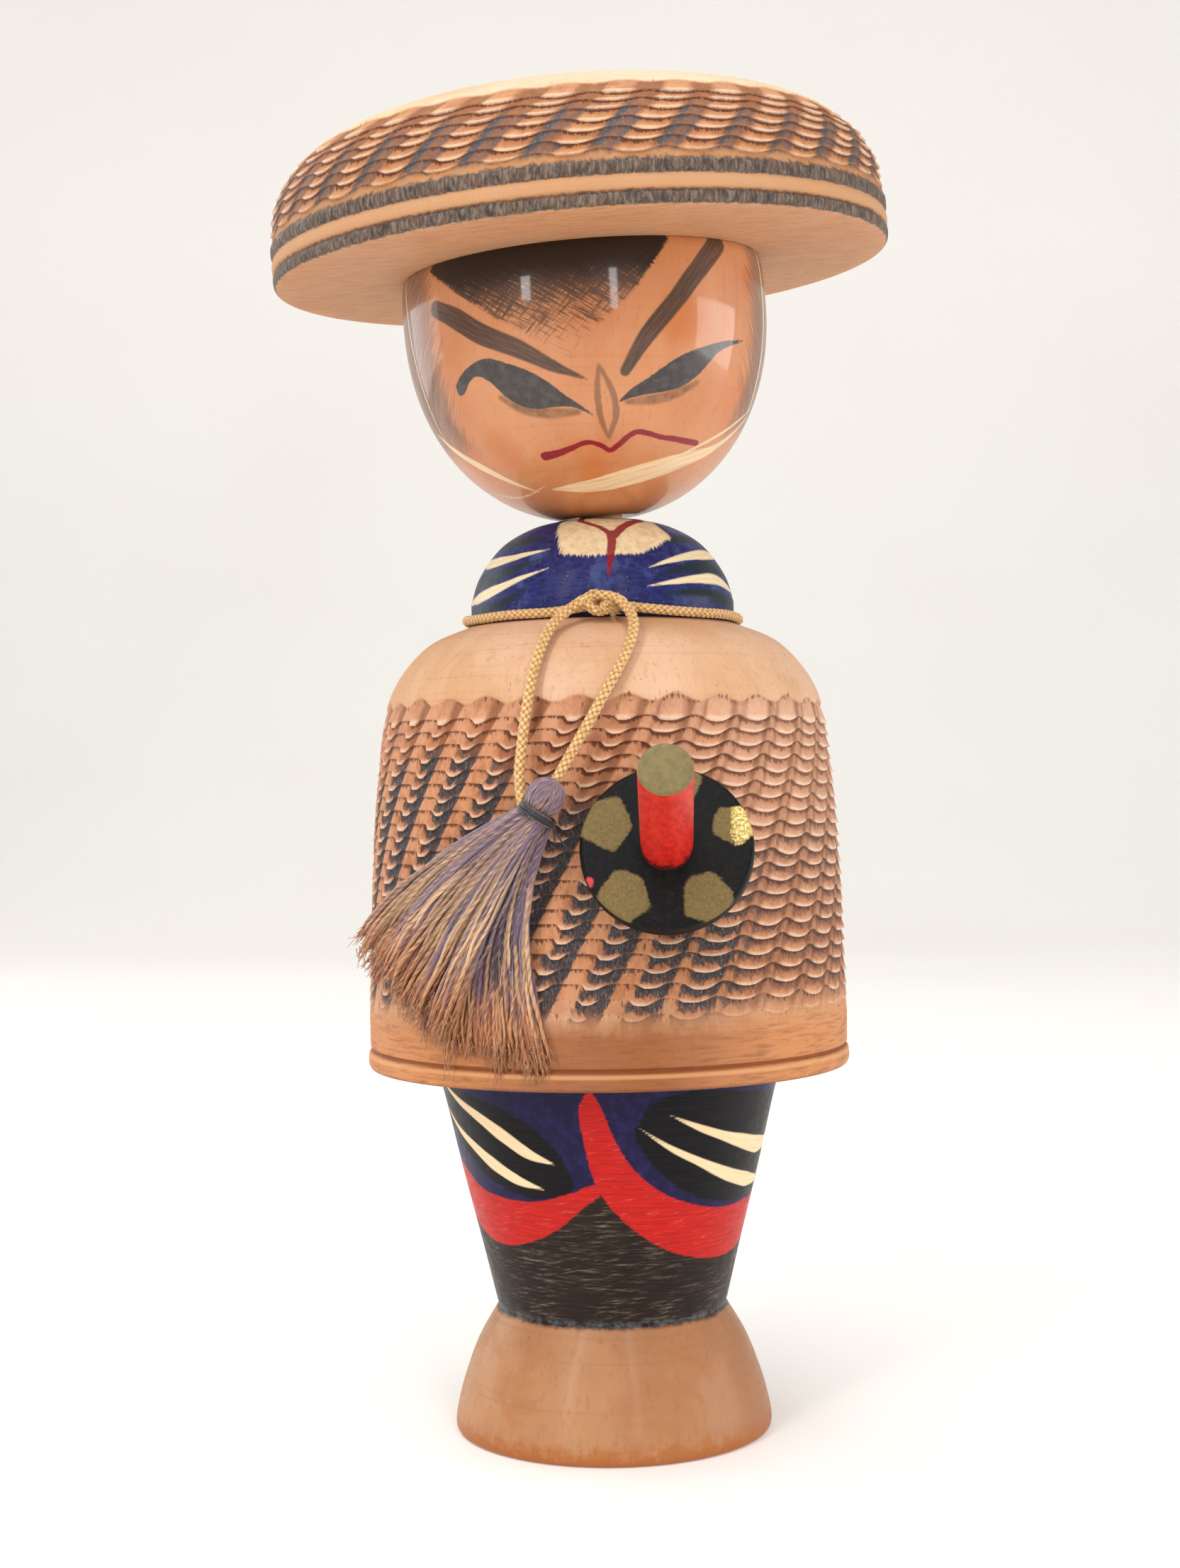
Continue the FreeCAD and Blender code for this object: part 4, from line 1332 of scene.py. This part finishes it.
def thread_paint(name, tip_tint):
    """Two-ply thread, faded from plum to straw, with tips of their own colour, painted shade between the
    plies and painted highlights on them.
    """
    paint = Paint(name, Sheen_Weight=0.3, Sheen_Roughness=0.5)
    tone, along, run = (paint.value(key) for key in ("tone", "along", "run"))
    wear = paint.streaks(run * 0.35, tone * 217.0, 0.0, 2.0, 0.55)
    phase = (run + wear) * 4.0 + tone * 90.0
    cosine, sine, _ = paint.parts("twice")
    plies = (cosine * paint.math("COSINE", phase) + sine * paint.math("SINE", phase)).step(-1.0, 1.0)
    paint.tint = paint.blend("#D6AD84", "#A07654", tone.step(0.02, 0.3))
    paint.coat("#8B747C", tone.step(0.42, 0.56))
    paint.coat("#5A4560", tone.step(0.66, 0.8))
    paint.coat("#2A1C30", tone.step(0.86, 0.95))
    paint.coat("#6C566A", (wear * 0.7 + along).step(0.4, 1.0, 0.72, 0.0))
    paint.coat(tip_tint, (wear * 0.5 + along).step(0.84, 1.24, 0.0, 0.95))
    # painted shade in the grooves between the plies
    paint.coat("#4A3030", plies.step(0.0, 0.5, 0.5, 0.0) * wear.step(0.35, 0.6))
    # painted highlight on the crests of the plies
    paint.coat("#F0D3A8", (plies * wear).step(0.35, 0.65, 0.0, 0.25))
    return paint.finish(0.6, plies, 0.0001, 0.6)


def make_tassel_head():
    """Threads laid over a ball, from its top down into the binding, in two layers."""
    draw = np.random.default_rng(61)
    top = -BINDING_AXIS
    lines, tones = [], []
    for ring_r, number in ((2.3, 78), (2.15, 60)):
        for k in range(number):
            turn = 2 * math.pi * (k + draw.uniform(-0.3, 0.3)) / number
            out = math.cos(turn) * SIDEWAYS + math.sin(turn) * AWAY
            drift = draw.normal(0, 0.05)
            size = ring_r + draw.uniform(-0.06, 0.06)
            fall = np.radians(np.linspace(6, 138, 15))[:, None]
            outward = np.cos(drift * fall) * out + np.sin(drift * fall) * np.cross(top, out)
            lines.append(np.vstack([
                TASSEL_HEAD + top * (size * np.cos(fall) * 1.04) + size * np.sin(fall) * outward,
                BINDING + out * (BOUND_R - 0.35) - BINDING_AXIS * 0.2,
                BINDING + out * (BOUND_R - 0.3) + BINDING_AXIS * 0.6,
            ]))
            tone = draw.choice([0.4, 0.48, 0.55, 0.6, 0.68]) + draw.normal(0, 0.05)
            tones.append(float(np.clip(tone, 0, 0.93)))
    points, faces, values = tubes(lines, [0.17] * len(lines), 6, tones)
    values["along"] *= 0.4
    material = thread_paint("tassel_thread_head", "#8C7068")
    piece("tassel_head_thread", (points, faces, values), "tassel", "tassel_head", material)


def make_binding():
    draw = np.random.default_rng(67)
    turn = np.linspace(0, 4.2 * 2 * math.pi, 260)[:, None]
    level = -0.45 + 0.95 * turn / turn[-1] + 0.09 * np.sin(turn * 0.7 + 1.0)
    size = BOUND_R + 0.1 + 0.04 * np.sin(turn * 2.3)
    lines = [BINDING + size * (np.cos(turn) * SIDEWAYS + np.sin(turn) * AWAY) + level * BINDING_AXIS]
    for bend, length in ((0.5, 3.2), (-0.25, 2.4)):
        start = BINDING - SIDEWAYS * BOUND_R + AWAY * 0.4 + BINDING_AXIS * draw.uniform(0, 0.4)
        way = np.array([0.35 + bend * 0.4, -0.1, -1.0])
        t = np.linspace(0, 1, 12)[:, None]
        lines.append(start + way * length * t + np.array([bend, 0.3, 0.0]) * t * t)
    paint = Paint("binding_thread", Sheen_Weight=0.2)
    twist = paint.streaks(paint.value("run") * 3.0, 0.0, 0.0, 2.0, 0.55)
    paint.tint = paint.blend("#121316", "#33363C", twist.step(0.4, 0.75))
    threads = tubes(lines, [0.16, 0.11, 0.11], 7)
    material = paint.finish(0.45)
    piece("tassel_binding_thread", threads, "tassel", "tassel_binding", material)


def cape_radius(height):
    line = cape_outline()
    side = line[(line[:, 0] > 24) & (line[:, 1] > HEM_Z + 0.5)][::-1]
    return np.interp(height, side[:, 1], side[:, 0])


def hanging_thread(draw, root, end_angle, end_z, end_off, droop, wave, bow):
    """A thread from a point in the binding to an angle and a height on the cape, so far off it."""
    s = np.linspace(0, 1, 27)
    angle0 = math.degrees(math.atan2(root[0], -root[1]))
    radius0 = math.hypot(root[0], root[1])
    height = root[2] + (end_z - root[2]) * (s - droop * s * (1 - s))
    spread = s + 0.10 * s * (1 - s)
    angle = angle0 + (end_angle - angle0) * spread - bow * np.sin(math.pi * s)
    settle = ease(s, 0.0, 0.75)
    radius = radius0 * (1 - settle) + (cape_radius(height) + end_off) * settle
    phase = draw.uniform(0, ROUND, 3)
    swing = s * (1 - 0.3 * s)
    angle += wave * swing * (0.55 * np.sin(phase[0] + 7 * s) + 0.3 * np.sin(phase[2] + 24 * s))
    radius = np.maximum(radius + wave * 0.35 * swing * np.sin(phase[1] + 9 * s), cape_radius(height) + 0.3)
    return BODY.place(radius, angle, height)


def lock(draw, share, end_angle, end_z, end_off, layer, bow, dark):
    """Five threads from one part of the binding to one place. Gives each one's line, radii and tone."""
    base = draw.choice([0.05, 0.15, 0.28, 0.45, 0.6, 0.75]) if draw.uniform() > dark else 0.9
    sag, swell = draw.uniform(0.0, 0.12), draw.uniform(-0.4, 0.5)
    for _ in range(5):
        side = np.clip(share + draw.normal(0, 0.07), -0.97, 0.97)
        depth = np.clip(layer + draw.uniform(-0.45, 0.35), -0.95, 0.95) * math.sqrt(1 - side * side)
        root = BINDING + (BOUND_R - 0.15) * (side * SIDEWAYS + depth * AWAY) + BINDING_AXIS * 0.2
        line = hanging_thread(
            draw, root,
            end_angle + draw.normal(0, 1.3),
            end_z + draw.normal(0, 0.8),
            end_off + swell + draw.uniform(-0.4, 0.5),
            sag + draw.uniform(0.0, 0.05),
            draw.uniform(0.7, 1.9),
            bow + draw.normal(0, 0.5),
        )
        taper = np.interp(np.linspace(0, 1, len(line)), [0, 0.8, 0.93, 1], [0.9, 1, 0.75, 0.2])
        radii = draw.uniform(0.2, 0.29) * taper
        yield line, radii, float(np.clip(base + draw.normal(0, 0.08), 0, 1))


def frayed_ends(draw, lines):
    """Fine hairs from the threads' tips, kept off the cape and its hem."""
    for line in lines * 3:
        if draw.uniform() < 0.8:
            end = line[-2] + draw.normal(0, 0.3, 3)
            way = (line[-1] - line[-5]) / np.linalg.norm(line[-1] - line[-5]) + draw.normal(0, 0.25, 3)
            way *= draw.uniform(0.8, 2.0)
            t = np.linspace(-0.6, 1, 6)[:, None]
            hair = end + way * t + draw.normal(0, 0.25, 3) * t * t
            reach = np.hypot(hair[:, 0], hair[:, 1])
            hair[:, :2] *= (np.maximum(reach, cape_radius(hair[:, 2]) + 0.15) / reach)[:, None]
            hair[:, 2] = np.maximum(hair[:, 2], HEM_Z + 1.2)
            yield hair


def make_skirt():
    """An upper layer of locks away from the cape, a lower one close to it, and their frayed ends."""
    draw = np.random.default_rng(71)
    threads = []
    for share in np.linspace(1.0, -0.55, 34):
        angle = np.interp(share, [-0.55, 0, 1], [-35, -48, -64.5]) + draw.normal(0, 0.8)
        height = np.interp(share, [-0.55, 0, 1], [58.5, 61.5, 68.0]) + draw.normal(0, 0.8)
        threads += lock(draw, share, angle, height, draw.uniform(1.9, 3.9), 0.35, 0.0, 0.14)
    for share in np.linspace(0.6, -1.0, 34):
        angle = np.interp(share, [-1.0, -0.5, 0, 0.6], [-14.6, -23, -36, -51]) + draw.normal(0, 0.8)
        height = np.interp(share, [-1.0, -0.5, 0, 0.6], [55.4, 54.4, 55.6, 60.4]) + draw.normal(0, 1.0)
        threads += lock(draw, share, angle, height, draw.uniform(0.3, 1.0), -0.35, 3.0 - 2.0 * share, 0.42)
    lines, radii, tones = zip(*threads)
    hairs = list(frayed_ends(draw, lines))
    hair_tones = [float(draw.uniform(0.05, 0.4)) for _ in hairs]
    fray = tubes(hairs, [np.linspace(0.09, 0.03, 6)] * len(hairs), 3, hair_tones)
    fray[2]["along"] = 0.8 + 0.2 * fray[2]["along"]
    skirt = together(tubes(lines, radii, 7, tones), fray)
    material = thread_paint("tassel_thread_skirt", "#B2692C")
    piece("tassel_skirt_thread", skirt, "tassel", "tassel_skirt", material)


# ---------------------------------------------------------------- sword


SWORD_RISE = math.radians(23.0)
SWORD_YAW = math.radians(-2.0)
SWORD_AXIS = np.array([
    math.cos(SWORD_RISE) * math.sin(SWORD_YAW),
    -math.cos(SWORD_RISE) * math.cos(SWORD_YAW),
    math.sin(SWORD_RISE),
])
GUARD_FRONT = np.array([7.2, -39.3, 81.5])
GUARD_R = 10.75
GUARD_THICK = 3.0
GUARD_EDGE = 0.7
GRIP_R = 3.25
GRIP_LENGTH = 24.0
GRIP_DEPTH = 18.0
PATCHES = ((17, 2.45), (79, 2.8), (156, 3.15), (230, 3.05), (305, 2.95))  # angle and size


def gold_patches(across, up):
    """Distance inside the guard's uneven five-sided patches, and across the first one."""
    draw = np.random.default_rng(83)
    gold = np.full(across.shape, -9.0)
    for index, (patch, size) in enumerate(PATCHES):
        out, turn = GUARD_R - size * 0.8, math.radians(patch)
        from_middle = across - out * math.cos(turn)
        above_middle = up - out * math.sin(turn)
        lean = draw.uniform(0, 72)
        inside = np.full(across.shape, 9.0)
        for side in range(5):
            heading = math.radians(lean + 72 * side + draw.uniform(-9, 9))
            reach = size * draw.uniform(0.9, 1.08)
            gap = reach - from_middle * math.cos(heading) - above_middle * math.sin(heading)
            inside = -np.logaddexp(-inside * 3.0, -gap * 3.0) / 3.0
        gold = np.maximum(gold, inside)
        if index == 0:
            leaf = np.clip(from_middle + 0.3, -3.0, 3.0)
    return gold, leaf


def guard_paint():
    """Black with crumpled gold patches, half of the first one bright, and a red speck at the edge."""
    paint = Paint("black_guard", Specular_IOR_Level=0.12, Coat_Weight=0.02, Coat_Roughness=0.25)
    mid = paint.grain(1300, 1300, 1300)
    fine = paint.grain(5200, 5200, 5200, 2.0, 0.6)
    crumpled = paint.grain(3000, 3000, 3000, 4.0, 0.7)
    paint.tint = paint.blend("#0A0A0B", "#1F1C1B", mid.step(0.42, 0.75))
    paint.coat("#5A5650", fine.step(0.7, 0.82, 0.0, 0.45))
    matte = paint.blend("#7E6C44", "#6B5A36", crumpled.step(0.35, 0.65))
    bright = paint.blend("#A98C42", "#F4E39C", crumpled.step(0.42, 0.6))
    gold = paint.blend(matte, bright, paint.value("leaf").edge(mid, 2.4, 0.12))
    paint.coat(gold, paint.value("gold").edge(mid, 0.9, 0.2) * 0.97)
    paint.coat("#C0424A", paint.value("speck").edge(mid, 0.5, 0.15))
    return paint.finish(mid.step(0.3, 0.7, 0.38, 0.6), crumpled, 0.0001, 0.6)


def make_guard():
    inner = GRIP_R - 0.3
    lower = rounded_corner(GUARD_R, GUARD_EDGE, GUARD_EDGE, -90, 0)
    upper = rounded_corner(GUARD_R, GUARD_THICK - GUARD_EDGE, GUARD_EDGE, 0, 90)
    outline = joined(
        straight([(inner, 0.0), lower[0]], 0.8),
        lower,
        straight([lower[-1], upper[0]], 0.3),
        upper,
        straight([upper[-1], (inner, GUARD_THICK)], 0.16),
    )
    disc = Surface(Frame(GUARD_FRONT - SWORD_AXIS * GUARD_THICK, SWORD_AXIS), outline, ring_angles(300))
    turn = np.radians(disc.angle)
    reach = disc.radius + np.where(disc.height < GUARD_THICK - GUARD_EDGE, 2.0, 0.0)
    across, up = reach * np.sin(turn), -reach * np.cos(turn)
    gold, leaf = gold_patches(across, up)
    speck = 0.55 - np.hypot(across + 0.89 * GUARD_R, (up + 0.41 * GUARD_R) * 0.8)
    values = {"gold": gold, "leaf": leaf, "speck": speck}
    material = guard_paint()
    turned_piece("sword_guard_painted", disc.grid, "body", "sword_guard", material, values)


def grip_paint():
    """Red, with painted shade where it enters the guard, and a dull gold end."""
    paint = Paint("red_grip", Specular_IOR_Level=0.15, Coat_Weight=0.08, Coat_Roughness=0.2)
    mid = paint.grain(900, 900, 900)
    length_ways = paint.grain(1500, 160, 1500)
    paint.tint = paint.blend("#CC2A1E", "#AE1D17", length_ways.step(0.38, 0.66))
    paint.coat("#DB5A4A", length_ways.step(0.6, 0.8, 0.0, 0.3))
    # painted shade on the grip next to the guard
    paint.coat("#2A1A1A", (mid * 6.5 - paint.value("reach")).step(1.2, 2.4, 0.0, 0.85))
    specks = paint.grain(3600, 3600, 3600, 2.0, 0.55).step(0.66, 0.76, 0.0, 0.5)
    dull = paint.blend("#7E7048", "#6E6140", mid.step(0.35, 0.7))
    paint.coat(paint.blend(dull, "#3E3524", specks), paint.value("face").edge(mid, 0.35, 0.06))
    return paint.finish(mid.step(0.3, 0.7, 0.36, 0.5), length_ways, 0.00008, 0.5)


def make_grip():
    end = rounded_corner(GRIP_R, GRIP_LENGTH - 0.6, 0.6, 0, 90, 8)
    outline = joined(
        straight([(1.0, -GRIP_DEPTH), (GRIP_R, -GRIP_DEPTH), end[0]], 0.5),
        end,
        straight([end[-1], (0.3, GRIP_LENGTH)], 0.2),
    )
    rod = Surface(Frame(GUARD_FRONT, SWORD_AXIS), outline, ring_angles(120))
    values = {"face": rod.height - (GRIP_LENGTH - 0.45), "reach": rod.height}
    turned_piece("sword_grip_painted", rod.grid, "body", "sword_grip", grip_paint(), values)


def make_peg():
    """The hidden peg keeps its CAD solid, and gets a wood."""
    paint = Paint("peg_wood")
    grain = wood(paint, "#D9B38A", "#CFA57A", "#B58757", 0.3)
    slots = frame["nodes"]["neck_peg"].data.materials
    slots.clear()
    slots.append(paint.finish(0.6, grain, 0.0001, 0.4))


# ---------------------------------------------------------------- the whole doll


build_camera(bpy.context.scene)
build_lights(bpy.context.scene)
build_floor(bpy.context.scene)
cord_material = cord_paint()
strands = list(make_strands(cord_material))
make_neck_cord(cord_material)
make_tassel_head()
make_binding()
make_skirt()
for strand, line in strands:
    tuple(line[0] * MM)
    float(spacing(line)[-1]) * MM
    (line * MM).tolist()
make_legs()
make_cape()
make_shoulders()
make_head()
make_hat()
make_guard()
make_grip()
make_peg()
